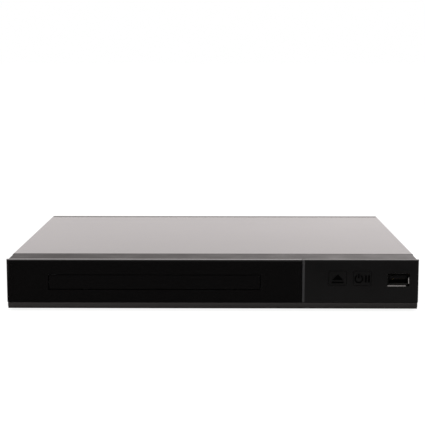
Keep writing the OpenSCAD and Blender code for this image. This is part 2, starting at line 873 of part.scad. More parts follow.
module tray() {
  rail_in = tray_half - rail_w;
  pocket_top = tray_top - tray_wall;
  far = tray_back - tray_wall;
  color([0.16, 0.16, 0.17]) at_tray() {
    difference() {
      union() {
        block(-tray_half, tray_half, plate_t, tray_back, floor_under, tray_top);
        block(-tray_half, tray_half, plate_t, plate_t + 2, rail_bottom, tray_top);
        both_sides() block(tray_half - eps, flange_out, plate_t + 6, tray_back, floor_under, flange_top);
        block(-tray_half, -rail_in, plate_t, tray_back, rail_bottom, floor_under + eps);
      }
      post(0, disc_y, recess_floor, tray_top + 1, disc_d / 2 + disc_room);
      post(0, disc_y, small_floor, tray_top + 1, small_disc_d / 2 + disc_room);
      post(0, disc_y, floor_under - 1, tray_top + 1, slot_half + 0.5);
      block(-slot_half, slot_half, disc_y, lens_y + sled_travel + slot_past_lens,
        floor_under - 1, tray_top + 1);
      block(-notch_half, notch_half, disc_y, tray_back + 1, notch_floor, tray_top + 1);
      both_sides()
        block(notch_half + tray_wall, rail_in, disc_y + 64, far, floor_under - 1, pocket_top);
      block(-notch_half, notch_half, disc_y + 68, far, floor_under - 1, notch_floor - tray_wall);
      both_sides()
        difference() {
          block(30, rail_in, plate_t + 3, disc_y, floor_under - 1, pocket_top);
          post(0, disc_y, floor_under - 2, tray_top, disc_d / 2 + disc_room + tray_wall);
        }
      both_sides()
        for (turn = [55, 125])
          rotate_about_disc(turn)
            block(disc_d / 2 - 4, disc_d / 2 + 3, -5, 5, recess_floor - 0.02, tray_top + 1);
    }
    translate([rack_x, drive_y, 0])
      mirror([1, 0, 0])
        rack(drive_module, rack_first(), rack_last(), tray_half - rack_x, rail_bottom, floor_under + eps);
  }
}

function rack_first() = ceil((plate_t + 2.5 - drive_y) / (PI * drive_module));
function rack_last() = floor((tray_travel + 5) / (PI * drive_module));

module rotate_about_disc(turn) {
  translate([0, disc_y, 0]) rotate(turn - 90) children();
}

// ---- Loader ----

module loader_frame() {
  color([0.3, 0.3, 0.31]) at_tray()
    difference() {
      union() {
        block(-loader_half, loader_half, loader_front, loader_back, loader_bottom, loader_floor);
        both_sides() {
          block(loader_inner, loader_half, loader_front, loader_back, loader_bottom, loader_top);
          block(ledge_in, loader_half, loader_front, loader_back, ledge_top - ledge_t, ledge_top);
          for (y = [loader_front + 6, disc_y - 10, disc_y + 60])
            block(ledge_in, loader_half, y, y + 12, lip_bottom, lip_top);
          for (y = ear_y)
            block(loader_half - 1, ear_x + ear_half, y - 7, y + 7, loader_bottom, loader_floor);
          for (y = [disc_y - bridge_d / 2 + 6, disc_y + bridge_d / 2 - 6])
            post(clamp_screw_x, y, lip_top - 0.1, loader_top, clamp_boss_r);
        }
        block(-loader_half, loader_half, loader_front, loader_front + loader_front_wall,
          loader_bottom, rail_bottom - 0.6);
        block(-loader_half, loader_half, loader_back - 2, loader_back, loader_bottom, loader_top);
        // Posts and collars that carry the two gears
        post(drive_x, drive_y, loader_floor - eps, wheel_bottom - 0.2, 3);
        post(pulley_x, drive_y, loader_floor - eps, pulley_pinion_bottom - 0.2, 3);
        post(drive_x, drive_y, loader_floor - eps, pinion_top - 0.3, post_r);
        post(pulley_x, drive_y, loader_floor - eps, pulley_top - 0.3, post_r);
        post(motor_x, motor_y, loader_bottom, motor_top + motor_seat_t, motor_r + 1.8);
        // Brackets that hold the traverse's hinge pins
        for (x = [deck_left - bracket_gap - bracket_t, deck_right + bracket_gap])
          block(x, x + bracket_t, hinge_y - 5, hinge_y + 5, loader_bottom, hinge_z + 4);
      }
      block(deck_left - bracket_gap, deck_right + bracket_gap, cam_y + cam_t + 1.3, hinge_y + 9,
        loader_bottom - 1, loader_floor + 0.6);
      // Groove that the cam slider runs in
      block(cam_left - cam_travel - 1, cam_right + 1, cam_y - 0.3, cam_y + cam_t + 0.3,
        cam_bottom - 0.1, loader_top);
      post(motor_x, motor_y, loader_bottom - 1, motor_top, motor_r + 0.3);
      post(motor_x, motor_y, loader_bottom - 1, loader_top, 3.4);
      post_x(hinge_y, hinge_z, deck_left - 12, deck_right + 12, hinge_r + run_fit);
      both_sides() {
        for (y = ear_y)
          post(ear_x, y, loader_bottom - 1, loader_floor + 1, damper_neck + damper_fit);
        for (y = [disc_y - bridge_d / 2 + 6, disc_y + bridge_d / 2 - 6])
          post(clamp_screw_x, y, loader_top - 3, loader_top + 1, screw_r);
      }
    }
}

module loader_dampers() {
  color("dimgray") at_tray()
    for (sx = [-1, 1], y = ear_y)
      difference() {
        union() {
          post(sx * ear_x, y, boss_top, loader_bottom - damper_fit, damper_r);
          post(sx * ear_x, y, boss_top, ear_top, damper_neck);
          post(sx * ear_x, y, loader_floor + damper_fit, ear_top, damper_r);
        }
        post(sx * ear_x, y, boss_top - 1, ear_top + 1, damper_bore);
      }
}

module loader_screws() {
  color("silver") at_tray() {
    for (sx = [-1, 1], y = ear_y) {
      post(sx * ear_x, y, pan_top, ear_top, damper_bore);
      post(sx * ear_x, y, ear_top, ear_top + 1.4, damper_neck + 0.6);
    }
    for (sx = [-1, 1], y = [disc_y - bridge_d / 2 + 6, disc_y + bridge_d / 2 - 6])
      translate([sx * clamp_screw_x, y, bridge_top]) screw(bridge_t + 3);
  }
}

module clamp_bridge() {
  color("silver") at_tray()
    difference() {
      union() {
        block(-loader_half, loader_half, disc_y - bridge_d / 2, disc_y + bridge_d / 2,
          bridge_bottom, bridge_top);
        for (y = [disc_y - bridge_d / 2, disc_y + bridge_d / 2 - 1.2])
          block(-loader_half, loader_half, y, y + 1.2, bridge_bottom, bridge_top + 1.6);
      }
      post(0, disc_y, bridge_bottom - 1, bridge_top + 3, neck_r + 0.6);
      both_sides() {
        post(clamp_screw_x, disc_y - bridge_d / 2 + 6, bridge_bottom - 1, bridge_top + 1, screw_r);
        post(clamp_screw_x, disc_y + bridge_d / 2 - 6, bridge_bottom - 1, bridge_top + 1, screw_r);
        block(26, 54, disc_y - 11, disc_y + 11, bridge_bottom - 1, bridge_top + 1);
      }
    }
}

module clamper() {
  color("black") at_tray()
    difference() {
      union() {
        post(0, disc_y, puck_bottom, puck_top, puck_r);
        post(0, disc_y, puck_top - eps, cap_bottom, neck_r);
      }
      post(0, disc_y, puck_bottom - 1, puck_bottom + 1.3, hub_r + 1.1);
    }
}

module clamper_cap() {
  color("dimgray") at_tray()
    difference() {
      post(0, disc_y, cap_bottom, cap_top, cap_r);
      for (i = [0 : 5])
        rotate_about_disc(60 * i) block(cap_r - 5, cap_r - 2.5, -1.5, 1.5, cap_top - 0.7, cap_top + 1);
      post(0, disc_y, cap_top - 0.6, cap_top + 1, 4);
    }
}

module loading_motor() {
  color("silver") at_tray() {
    post(motor_x, motor_y, motor_bottom, motor_top, motor_r);
    post(motor_x, motor_y, motor_top - eps, motor_top + motor_seat_t, 3);
    post(motor_x, motor_y, motor_top, pulley_top, motor_shaft_r);
  }
}

// A grooved pulley about the Z axis
module pulley(r, z0, z1) {
  groove = (z1 - z0 - belt_t) / 2 - 0.1;
  translate([0, 0, z0]) cylinder(r = r - 0.1, h = z1 - z0);
  translate([0, 0, z0]) cylinder(r = r + belt_t, h = groove);
  translate([0, 0, z1 - groove]) cylinder(r = r + belt_t, h = groove);
}

module motor_pulley() {
  color("white") at_tray() translate([motor_x, motor_y, 0])
    difference() {
      pulley(motor_pulley_r, pulley_bottom, pulley_top);
      post(0, 0, pulley_bottom - 1, pulley_top + 1, motor_shaft_r + run_fit);
    }
}

// The loop round two circles, the second at distance reach along X
module belt_outline(r1, r2, reach) {
  lean = acos((r1 - r2) / reach);
  circle(r = r1);
  translate([reach, 0]) circle(r = r2);
  polygon([polar(r1, lean), polar(r1, -lean),
    [reach, 0] + polar(r2, -lean), [reach, 0] + polar(r2, lean)]);
}

module drive_belt() {
  reach = norm([pulley_x - motor_x, drive_y - motor_y]);
  color("black") at_tray()
    translate([pulley_x, drive_y, belt_z - belt_t / 2])
      rotate(atan2(motor_y - drive_y, motor_x - pulley_x))
        linear_extrude(height = belt_t)
          difference() {
            belt_outline(pulley_r + belt_t, motor_pulley_r + belt_t, reach);
            belt_outline(pulley_r, motor_pulley_r, reach);
          }
}

module pulley_gear() {
  color("ivory") at_tray() translate([pulley_x, drive_y, 0])
    difference() {
      union() {
        gear(drive_module, pulley_pinion_teeth, 180 / pulley_pinion_teeth,
          pulley_pinion_bottom, wheel_top + 0.2);
        post(0, 0, wheel_top, pulley_bottom + eps, pulley_pinion_r - 2);
        pulley(pulley_r, pulley_bottom, pulley_top);
      }
      post(0, 0, pulley_pinion_bottom - 1, pulley_top + 1, post_r + run_fit);
    }
}

module drive_gear() {
  color("ivory") at_tray() translate([drive_x, drive_y, 0])
    difference() {
      union() {
        gear(drive_module, drive_wheel_teeth, 0, wheel_bottom, wheel_top);
        gear(drive_module, tray_pinion_teeth, 0, wheel_top - eps, pinion_top);
      }
      post(0, 0, wheel_bottom - 1, pinion_top + 1, post_r + run_fit);
      for (i = [0 : 5])
        rotate(60 * i) post(drive_wheel_r * 0.72, 0, wheel_bottom - 1, wheel_top + 1, 2.2);
    }
}

// The slider that lifts the traverse: two slanted slots and a short rack
module cam_slider() {
  half_slot = cam_pin_r + cam_slack;
  run = norm([cam_travel, cam_rise]);
  lean = atan2(cam_rise, cam_travel);
  arm = [wheel_bottom, wheel_top];
  color("white") at_tray() {
    difference() {
      block(cam_left, cam_right, cam_y, cam_y + cam_t, cam_bottom, cam_top);
      for (x = cam_pin_x)
        translate([x, 0, cam_pin_park])
          along_y(cam_y - 1, cam_y + cam_t + 1) {
            circle(r = half_slot);
            translate([cam_travel, cam_rise]) circle(r = half_slot);
            rotate(lean) translate([0, -half_slot]) square([run, 2 * half_slot]);
          }
    }
    block(cam_right - eps, cam_rack_right, cam_y, cam_y + cam_t, arm[0], arm[1]);
    block(cam_rack_left, cam_rack_right, cam_arm_y, cam_y + eps, arm[0], arm[1]);
    teeth = floor((cam_rack_right - cam_rack_left) / (PI * drive_module));
    translate([cam_rack_left + 0.2, cam_rack_y, 0])
      rotate(-90)
        rack(drive_module, 0, teeth - 1, cam_arm_y - cam_rack_y + eps, arm[0], arm[1]);
  }
}

// ---- Traverse ----

module traverse_deck() {
  color([0.22, 0.22, 0.24]) parked()
    difference() {
      union() {
        block(deck_left, deck_right, deck_front, deck_back, deck_bottom, deck_top);
        block(deck_left, cam_pin_x[1] + 8, deck_front, deck_front + 1.5, deck_bottom, seat_z - 4.4);
        for (x = cam_pin_x)
          post_y(x, cam_pin_level, cam_y - 0.4, deck_front + eps, cam_pin_r);
        for (sx = [-1, 1], y = [rod_front, rod_back - rod_block])
          block(sx * rod_x - rod_grip, sx * rod_x + rod_grip, y, y + rod_block, deck_bottom, rod_z + 2.4);
        for (x = [deck_left, deck_right - 4])
          block(x, x + 4, hinge_y - 3, hinge_y + 3, deck_bottom, hinge_z + hinge_r + 0.4);
        post_x(hinge_y, hinge_z, deck_left - bracket_gap - bracket_t, deck_left + 1, hinge_r);
        post_x(hinge_y, hinge_z, deck_right - 1, deck_right + bracket_gap + bracket_t, hinge_r);
      }
      for (x = [-rod_x, rod_x])
        post_y(x, rod_z, rod_front + 1, rod_back - 1, rod_r);
      block(-20, 20, sled_front + 1, rod_back - rod_block - 2, deck_bottom - 1, deck_top + 1);
      post(feed_x, feed_y, deck_bottom - 1, deck_top + 1, feed_hub_r + run_fit);
      post(feed_motor_x, feed_motor_y, deck_bottom - 1, deck_top + 1, 2.4);
    }
}

module spindle_motor() {
  color("silver") parked()
    translate([0, disc_y, 0]) {
      post(0, 0, deck_top, deck_top + 1.2, spindle_r + 0.4);
      post(0, 0, deck_top + 1.2 - eps, spindle_top, spindle_r);
      post(0, 0, spindle_top - eps, hub_top - 0.4, motor_shaft_r);
    }
}

module turntable() {
  color([0.1, 0.1, 0.11]) parked()
    translate([0, disc_y, 0])
      difference() {
        union() {
          post(0, 0, table_bottom, seat_z - 1, hub_r - 2);
          post(0, 0, seat_z - 1.3, seat_z, turntable_r);
          translate([0, 0, seat_z - eps]) cylinder(r1 = hub_r, r2 = hub_r - 0.9, h = hub_top - seat_z);
        }
        post(0, 0, table_bottom - 1, hub_top + 1, motor_shaft_r + run_fit);
        difference() {
          post(0, 0, seat_z - 0.25, hub_top + 1, turntable_r - 1);
          post(0, 0, seat_z - 1, hub_top + 2, turntable_r - 3.5);
        }
      }
}

module guide_rods() {
  color("lightgray") parked()
    for (x = [-rod_x, rod_x])
      post_y(x, rod_z, rod_front + 1, rod_back - 1, rod_r);
}

module pickup_sled() {
  back = sled_front + sled_len;
  pocket = holder_half + holder_gap;
  first = ceil((-sled_travel - 4) / (PI * feed_module));
  color([0.25, 0.25, 0.27]) parked() {
    difference() {
      union() {
        block(-sled_half, sled_half, sled_front - 2, back, sled_bottom, sled_top);
        block(-13, 13, sled_front, lens_y + pocket + 0.8, sled_top - eps, lens_deck);
      }
      post(0, disc_y, sled_bottom - 1, lens_deck + 1, spindle_r + 1.4);
      post_y(-rod_x, rod_z, sled_front - 3, back + 1, rod_r + run_fit);
      block(rod_x - rod_r - run_fit, rod_x + rod_r + run_fit, sled_front - 3, back + 1,
        sled_bottom - 1, rod_z + rod_r + 0.1);
      block(-pocket, pocket, lens_y - pocket, lens_y + pocket, sled_bottom + 1, lens_deck + 1);
    }
    translate([feed_rack_x, feed_y, 0])
      rack(feed_module, first, 1, feed_rack_x - sled_half + eps, feed_rack_bottom, feed_rack_top);
  }
}

module objective_lens() {
  color([0.5, 0.6, 0.75]) parked()
    translate([0, lens_y, 0]) {
      block(-holder_half, holder_half, -holder_half, holder_half, sled_bottom + 2, lens_deck);
      post(0, 0, lens_deck - eps, lens_deck + 0.3, 3.2);
      translate([0, 0, lens_deck + 0.3 - eps]) cylinder(r1 = 2.4, r2 = 1.4, h = lens_top - lens_deck - 0.3);
    }
}

module feed_gear() {
  color("ivory") parked() translate([feed_x, feed_y, 0])
    union() {
      gear(feed_module, feed_wheel_teeth, feed_angle, feed_wheel_bottom, feed_wheel_top);
      post(0, 0, feed_wheel_top - eps, feed_pinion_bottom + eps, feed_hub_r);
      gear(feed_module, feed_pinion_teeth, 180, feed_pinion_bottom, feed_pinion_top);
    }
}

module feed_motor() {
  color("silver") parked() translate([feed_motor_x, feed_motor_y, 0]) {
    post(0, 0, deck_top, deck_top + 5.2, feed_motor_r);
    post(0, 0, feed_wheel_bottom, deck_top + eps, 0.8);
  }
}

module feed_pinion() {
  color("gold") parked() translate([feed_motor_x, feed_motor_y, 0])
    difference() {
      gear(feed_module, feed_motor_teeth, feed_angle + 180 + 180 / feed_motor_teeth,
        feed_wheel_bottom, feed_wheel_top);
      post(0, 0, feed_wheel_bottom - 1, feed_wheel_top + 1, 0.8 + run_fit);
    }
}

// ---- Boards ----

function power_corners() =
  [for (x = [power_left + 4, power_right - 4], y = [power_front + 4, power_back - 4]) [x, y]];
function main_corners() =
  [for (x = [board_left + 4, main_right - 4], y = [main_front + 4, main_back - 22]) [x, y]];
function spacer_places() = concat(power_corners(), main_corners());
function jack_places() = [for (i = [-1 : 1]) jack_x + i * jack_pitch];

module board_plate(x0, x1, y0, y1, corners) {
  difference() {
    block(x0, x1, y0, y1, board_z, board_top);
    for (p = corners)
      post(p[0], p[1], board_z - 1, board_top + 1, screw_r);
  }
}

module main_board() {
  color("darkgreen") at_face()
    board_plate(board_left, main_right, main_front, main_back, main_corners());
}

module power_board() {
  color([0.45, 0.33, 0.16]) at_face()
    board_plate(power_left, power_right, power_front, power_back, power_corners());
}

// A part standing on a board
module on_board(x, y, w, d, h) {
  block(x - w / 2, x + w / 2, y - d / 2, y + d / 2, board_top, board_top + h);
}

module board_chips() {
  color([0.1, 0.1, 0.1]) at_face() {
    on_board(board_left + 30, main_front + 28, 18, 18, 1.4);
    on_board(board_left + 14, main_front + 14, 9, 6, 1.2);
    on_board(board_left + 48, main_front + 16, 10, 7, 1.6);
    on_board(board_left + 13, main_front + 38, 12, 8, 2);
    on_board(board_left + 46, main_front + 34, 6, 5, 1.2);
  }
}

module board_capacitors() {
  color("navy") at_face() {
    for (i = [0 : 2])
      post(board_left + 22 + 9 * i, main_front + 47, board_top, board_top + 7, 2.5);
    post(board_left + 30, main_front + 10, board_top, board_top + 9, 3.2);
    post(board_left + 9, main_front + 22, board_top, board_top + 6, 2);
  }
}

module board_connectors() {
  color("ivory") at_face() {
    on_board(board_left + 3.4, main_front + 30, 5, 16, 4);
    on_board(board_left + 36, main_front + 3.2, 14, 5, 5);
    on_board(board_left + 20, main_front + 3.2, 10, 5, 5);
    on_board(power_left + 34, power_back - 3.2, 14, 5, 6);
    on_board(power_right - 13, power_back - 8, 8, 5, 7);
  }
}

module transformer() {
  x = (sink_x + sink_reach + main_capacitor_x - main_capacitor_r) / 2;
  y = power_front + 34;
  color("dimgray") at_face() {
    difference() {
      on_board(x, y, 24, 19, 16);
      block(x - 8.5, x + 8.5, y - 10, y + 10, board_top + 3, board_top + 13);
    }
    post_y(x, board_top + 8, y - 9, y + 9, 4.9);
  }
}

module power_capacitors() {
  color("navy") at_face() {
    post(main_capacitor_x, power_front + 36, board_top, board_top + 20, main_capacitor_r);
    for (i = [0 : 3])
      post(power_left + 8 + 11 * i, power_front + 58 + 1.5 * (i % 2), board_top, board_top + 12, 4);
    post(power_left + 9, power_front + 44, board_top, board_top + 14, 5);
  }
}

module heat_sink() {
  color("silver") at_face() {
    on_board(sink_x, power_front + 22, 2, 20, 18);
    for (i = [0 : 4])
      block(sink_x + 1 - eps, sink_x + sink_reach, power_front + 12 + 4.5 * i, power_front + 14 + 4.5 * i,
        board_top + 3, board_top + 18);
  }
}

module fuse_and_filter() {
  color("khaki") at_face() {
    post_y(power_right - 8, board_top + 4, power_front + 9, power_front + 25, 2.6);
    for (y = [power_front + 9, power_front + 22])
      on_board(power_right - 8, y + 1.5, 6, 3, 2.2);
    on_board(power_right - 26, power_front + 12, 15, 13, 11);
    on_board(power_left + 31, power_front + 12, 12, 6, 9);
  }
}

module board_screws() {
  color("silver") at_face()
    for (p = spacer_places())
      translate([p[0], p[1], board_top]) screw(board_t + 2.5);
}

// Flat cables: from the loader and from the front board to the main board
module ribbon_cables() {
  thick = 0.5;
  start = board_left + 3.4;
  reach = main_front + 38;
  color("white") at_face() {
    translate([0, main_front + 23, 0])
      rotate([-90, 0, 0])
        linear_extrude(height = 14)
          ribbon_outline([[start, -(board_top + 4 + eps)], [start, -(board_top + 12)],
            [tray_x + loader_half + 4, -(board_top + 14)],
            [tray_x + loader_half + 0.2, -(loader_top - 3)]], thick);
    along_x(board_left + 15.5, board_left + 24.5)
      ribbon_outline([[main_front + 3.2, board_top + 5 + eps], [main_front + 3.2, board_top + 21],
        [front_board_y + board_t + 3, board_top + 21], [front_board_y + board_t + 3, front_board_top + 1.4]],
        thick);
  }
}

// A flat outline of even thickness along a list of points
module ribbon_outline(points, thick) {
  for (i = [0 : len(points) - 2]) {
    step = points[i + 1] - points[i];
    length = norm(step);
    translate(points[i])
      rotate(atan2(step[1], step[0]))
        translate([0, -thick / 2]) square([length, thick]);
    if (i > 0)
      translate(points[i]) circle(r = thick / 2, $fn = 16);
  }
}

// Leads: mains inlet to the power board, and power board to the main board
module power_wires() {
  wire = 0.9;
  x = power_right - 13;
  top = board_top + 12;
  color("red") at_face() {
    for (s = [-1, 1]) {
      post(x + 2 * s, power_back - 8, board_top + 7, top, wire);
      translate([x + 2 * s, power_back - 8, top]) sphere(r = wire);
      post_y(x + 2 * s, top, power_back - 8, body_d - inlet_d - 6, wire);
    }
    for (i = [-2 : 2])
      post_y(power_left + 34 + 2.2 * i, board_top + 3, power_back - 0.7, main_front + 0.7, wire / 2);
  }
}

// ---- Back ----

module rca_housing() {
  half = jack_pitch + 7;
  color("black") at_face()
    difference() {
      block(jack_x - half, jack_x + half, rear_in - housing_d, rear_in - eps,
        board_top, jack_z + 6.6);
      for (x = jack_places())
        post_y(x, jack_z, rear_in - housing_d + 3, rear_in + 1, jack_root_r);
    }
}

module rca_barrels() {
  color("silver") at_face()
    for (x = jack_places())
      difference() {
        union() {
          post_y(x, jack_z, rear_in - housing_d + 3, body_d + collar_out, jack_root_r);
          post_y(x, jack_z, body_d + collar_out, body_d + jack_proud, jack_r);
        }
        post_y(x, jack_z, rear_in - housing_d + 4, body_d + jack_proud + 1, jack_bore);
      }
}

// The coloured collar and core of one socket
module rca_core(x) {
  at_face() {
    difference() {
      post_y(x, jack_z, rear_in, body_d + collar_out, ring_r);
      post_y(x, jack_z, rear_in - 1, body_d + 1, jack_root_r);
    }
    difference() {
      post_y(x, jack_z, rear_in - housing_d + 4, body_d + jack_proud - 1.5, jack_bore);
      post_y(x, jack_z, rear_in - housing_d + 6, body_d + jack_proud, 1.6);
    }
  }
}

module rca_yellow() {
  color("gold") rca_core(jack_places()[0]);
}

module rca_white() {
  color("white") rca_core(jack_places()[1]);
}

module rca_red() {
  color("red") rca_core(jack_places()[2]);
}

module hdmi_section(grow) {
  w = video_half - grow;
  h = video_half_h - grow;
  polygon([[-w, h], [w, h], [w, -h + 2], [w - 1.6, -h], [-w + 1.6, -h], [-w, -h + 2]]);
}

module hdmi_shell() {
  color("silver") at_face() translate([video_x, 0, video_z])
    difference() {
      along_y(rear_in - 10, body_d + 0.4) hdmi_section(0);
      along_y(rear_in - 9, body_d + 1) hdmi_section(0.35);
    }
}

module hdmi_tongue() {
  color("black") at_face() translate([video_x, 0, video_z]) {
    along_y(rear_in - 9, rear_in - 7.5) hdmi_section(0.35);
    block(-5.6, 5.6, rear_in - 7.5 - eps, body_d - 0.6, 0.1, 1.1);
  }
}

module mains_inlet() {
  half_pitch = inlet_pitch / 2;
  color("black") at_face() translate([inlet_x, 0, inlet_z])
    difference() {
      union() {
        along_y(rear_out, body_d + 1.4) rounded_rect(2 * inlet_half, 2 * inlet_half_h, 2);
        along_y(body_d - inlet_d, rear_out + eps)
          rounded_rect(2 * inlet_half - 3.4, 2 * inlet_half_h - 2.8, 1.5);
      }
      along_y(body_d + 1.4 - socket_d, body_d + 2) {
        square([inlet_pitch, 2 * socket_r], center = true);
        for (s = [-1, 1])
          translate([s * half_pitch, 0]) circle(r = socket_r);
      }
      for (s = [-1, 1])
        post_y(s * half_pitch, 0, body_d - inlet_d - 1, body_d, inlet_pin_r);
    }
}

module inlet_pins() {
  color("silver") at_face() translate([inlet_x, 0, inlet_z])
    for (s = [-1, 1]) {
      post_y(s * inlet_pitch / 2, 0, body_d - inlet_d - 4, body_d - 0.6, inlet_pin_r);
      translate([s * inlet_pitch / 2, body_d - 0.6, 0]) sphere(r = inlet_pin_r);
    }
}

bottom_pan();
rear_panel();
top_cover();
rubber_feet();
cover_screws();
front_panel();
front_window();
control_panel();
divider_trim();
tray_door();
tray();
eject_key();
power_key();
usb_shell();
usb_tongue();
front_board();
tact_switches();
ir_receiver();
loader_frame();
loader_dampers();
loader_screws();
clamp_bridge();
clamper();
clamper_cap();
loading_motor();
motor_pulley();
drive_belt();
pulley_gear();
drive_gear();
cam_slider();
traverse_deck();
spindle_motor();
turntable();
guide_rods();
pickup_sled();
objective_lens();
feed_gear();
feed_motor();
feed_pinion();
main_board();
board_chips();
board_capacitors();
board_connectors();
power_board();
transformer();
power_capacitors();
heat_sink();
fuse_and_filter();
board_screws();
ribbon_cables();
power_wires();
rca_housing();
rca_barrels();
rca_yellow();
rca_white();
rca_red();
hdmi_shell();
hdmi_tongue();
mains_inlet();
inlet_pins();
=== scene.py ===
"""Looks of a slim disc player with a motor-driven tray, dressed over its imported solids.

Lengths are in metres, except where a name, a docstring or a comment says millimetres.
"""
import json
import math
import random

import bmesh
import bpy
from mathutils import Matrix, Vector


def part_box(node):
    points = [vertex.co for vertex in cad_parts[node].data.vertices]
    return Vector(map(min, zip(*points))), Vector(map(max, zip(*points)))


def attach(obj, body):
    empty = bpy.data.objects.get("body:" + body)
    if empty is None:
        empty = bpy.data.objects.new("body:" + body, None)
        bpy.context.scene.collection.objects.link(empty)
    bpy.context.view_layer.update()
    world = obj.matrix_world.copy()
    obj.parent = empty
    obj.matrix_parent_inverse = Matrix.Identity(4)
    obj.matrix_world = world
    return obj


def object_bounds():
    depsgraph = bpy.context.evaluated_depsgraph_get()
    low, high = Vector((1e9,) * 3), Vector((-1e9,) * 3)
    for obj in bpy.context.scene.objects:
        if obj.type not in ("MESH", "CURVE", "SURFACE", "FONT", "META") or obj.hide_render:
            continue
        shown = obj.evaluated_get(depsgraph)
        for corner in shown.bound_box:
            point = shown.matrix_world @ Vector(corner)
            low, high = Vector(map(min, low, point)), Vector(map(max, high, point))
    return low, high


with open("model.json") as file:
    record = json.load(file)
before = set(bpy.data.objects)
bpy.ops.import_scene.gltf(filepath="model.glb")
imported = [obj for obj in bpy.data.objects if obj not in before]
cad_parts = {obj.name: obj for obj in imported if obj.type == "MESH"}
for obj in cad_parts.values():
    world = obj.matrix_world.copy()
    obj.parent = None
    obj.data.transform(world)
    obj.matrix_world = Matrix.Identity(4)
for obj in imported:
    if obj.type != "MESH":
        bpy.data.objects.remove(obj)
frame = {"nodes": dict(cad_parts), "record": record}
solid_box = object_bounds()
MM = 0.001
FRONT = solid_box[0][1]  # the plane of the face
PLATE_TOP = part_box("control_panel")[1][2]  # the upper edge of the face's plates
BOARD_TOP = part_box("main_board")[1][2]
WELD = 2e-6  # vertices closer than this become one
EDGE = math.radians(35)  # a solid's edges over this are kept, and rounded
CREASE = math.radians(40)  # a piece's edges over this are kept


def at(x, y, z):
    """A place from millimetres: right of the middle, behind the face, above the table."""
    return Vector((x * MM, FRONT + y * MM, z * MM))


# ---- Camera ----

SENSOR_WIDTH, FOCAL_LENGTH = 36, 94.38  # millimetres
EYE = (0.00642, -0.8204, 0.16483)
LOOK_DOWN, LOOK_LEFT = 0.13755, 0.0088  # radians


def stage_camera():
    """The photograph's view, fitted to the face's corners and the cover's rear corners."""
    lens = bpy.data.cameras.new("camera")
    lens.sensor_width = SENSOR_WIDTH
    lens.lens = FOCAL_LENGTH
    camera = bpy.data.objects.new("camera", lens)
    camera.location = EYE
    camera.rotation_euler = (math.pi / 2 - LOOK_DOWN, 0, LOOK_LEFT)
    bpy.context.scene.collection.objects.link(camera)
    bpy.context.scene.camera = camera


stage_camera()


# ---- Shader nodes ----

# A Mix node has sockets for every kind of data, so they are picked by number.
MIX_FACTOR, NUMBER_A, NUMBER_B, COLOUR_A, COLOUR_B = 0, 2, 3, 6, 7
MIXED_NUMBER, MIXED_COLOUR = 0, 2
NOISE_LOW, NOISE_HIGH = 0.3, 0.7  # most of a noise lies between these


def add(tree, kind, inputs=None, **props):
    """One shader node. inputs maps a socket's name or number to a value or to another node's output."""
    node = tree.nodes.new("ShaderNode" + kind)
    for key, value in props.items():
        setattr(node, key, value)
    for key, value in (inputs or {}).items():
        if isinstance(value, bpy.types.NodeSocket):
            tree.links.new(value, node.inputs[key])
        else:
            node.inputs[key].default_value = value
    return node


def math_node(tree, operation, a, b=0.0):
    """The result of an operation on a and b, each a number or an output."""
    return add(tree, "Math", {0: a, 1: b}, operation=operation).outputs[0]


def noise(tree, place, size, detail=3.0, rough=0.5):
    """Noise whose features are about size metres across, as a factor from 0 to 1."""
    inputs = {"Vector": place, "Scale": 1 / size, "Detail": detail, "Roughness": rough}
    return add(tree, "TexNoise", inputs).outputs[0]


def mix(tree, factor, a, b):
    """A number between a and b."""
    return add(tree, "Mix", {MIX_FACTOR: factor, NUMBER_A: a, NUMBER_B: b}).outputs[MIXED_NUMBER]


def blend(tree, factor, a, b):
    """A colour between a and b, each a colour or an output."""
    a, b = (c if isinstance(c, bpy.types.NodeSocket) else (*c, 1.0) for c in (a, b))
    inputs = {MIX_FACTOR: factor, COLOUR_A: a, COLOUR_B: b}
    return add(tree, "Mix", inputs, data_type="RGBA").outputs[MIXED_COLOUR]


def between(tree, factor, low, high, start=0.0, end=1.0):
    """low to high as factor goes from start to end."""
    inputs = {"Value": factor, "From Min": start, "From Max": end, "To Min": low, "To Max": high}
    return add(tree, "MapRange", inputs).outputs[0]


def mapped(tree, place, scale, turn=0.0):
    """The place, scaled on each axis and turned about Z."""
    return add(tree, "Mapping", {"Vector": place, "Scale": scale, "Rotation": (0, 0, turn)}).outputs[0]


def along(tree, place, axis):
    """The place's coordinate on one axis."""
    return add(tree, "SeparateXYZ", {"Vector": place}).outputs[axis]


def new_material(name, **constants):
    """A material with a Principled shader, and the constants on that shader's own sockets. Returns the
    material, its tree, the shader, and the place on the piece in metres."""
    material = bpy.data.materials.new(name)
    material.use_nodes = True
    tree = material.node_tree
    shader = tree.nodes["Principled BSDF"]
    for key, value in constants.items():
        shader.inputs[key.replace("_", " ")].default_value = value
    place = add(tree, "TexCoord").outputs["Object"]
    return material, tree, shader, place


def feed(tree, shader, socket, output):
    """Links an output to one of the shader's sockets."""
    tree.links.new(output, shader.inputs[socket])


def fed_by(shader, socket):
    """The output that is linked to one of the shader's sockets."""
    return shader.inputs[socket].links[0].from_socket


def set_bump(tree, shader, height, depth):
    """Raises the surface by height times depth metres."""
    bump = add(tree, "Bump", {"Height": height, "Strength": 1.0, "Distance": depth})
    feed(tree, shader, "Normal", bump.outputs[0])


def scaled(colour, factor):
    """A colour made lighter or darker."""
    return tuple(min(1.0, c * factor) for c in colour)


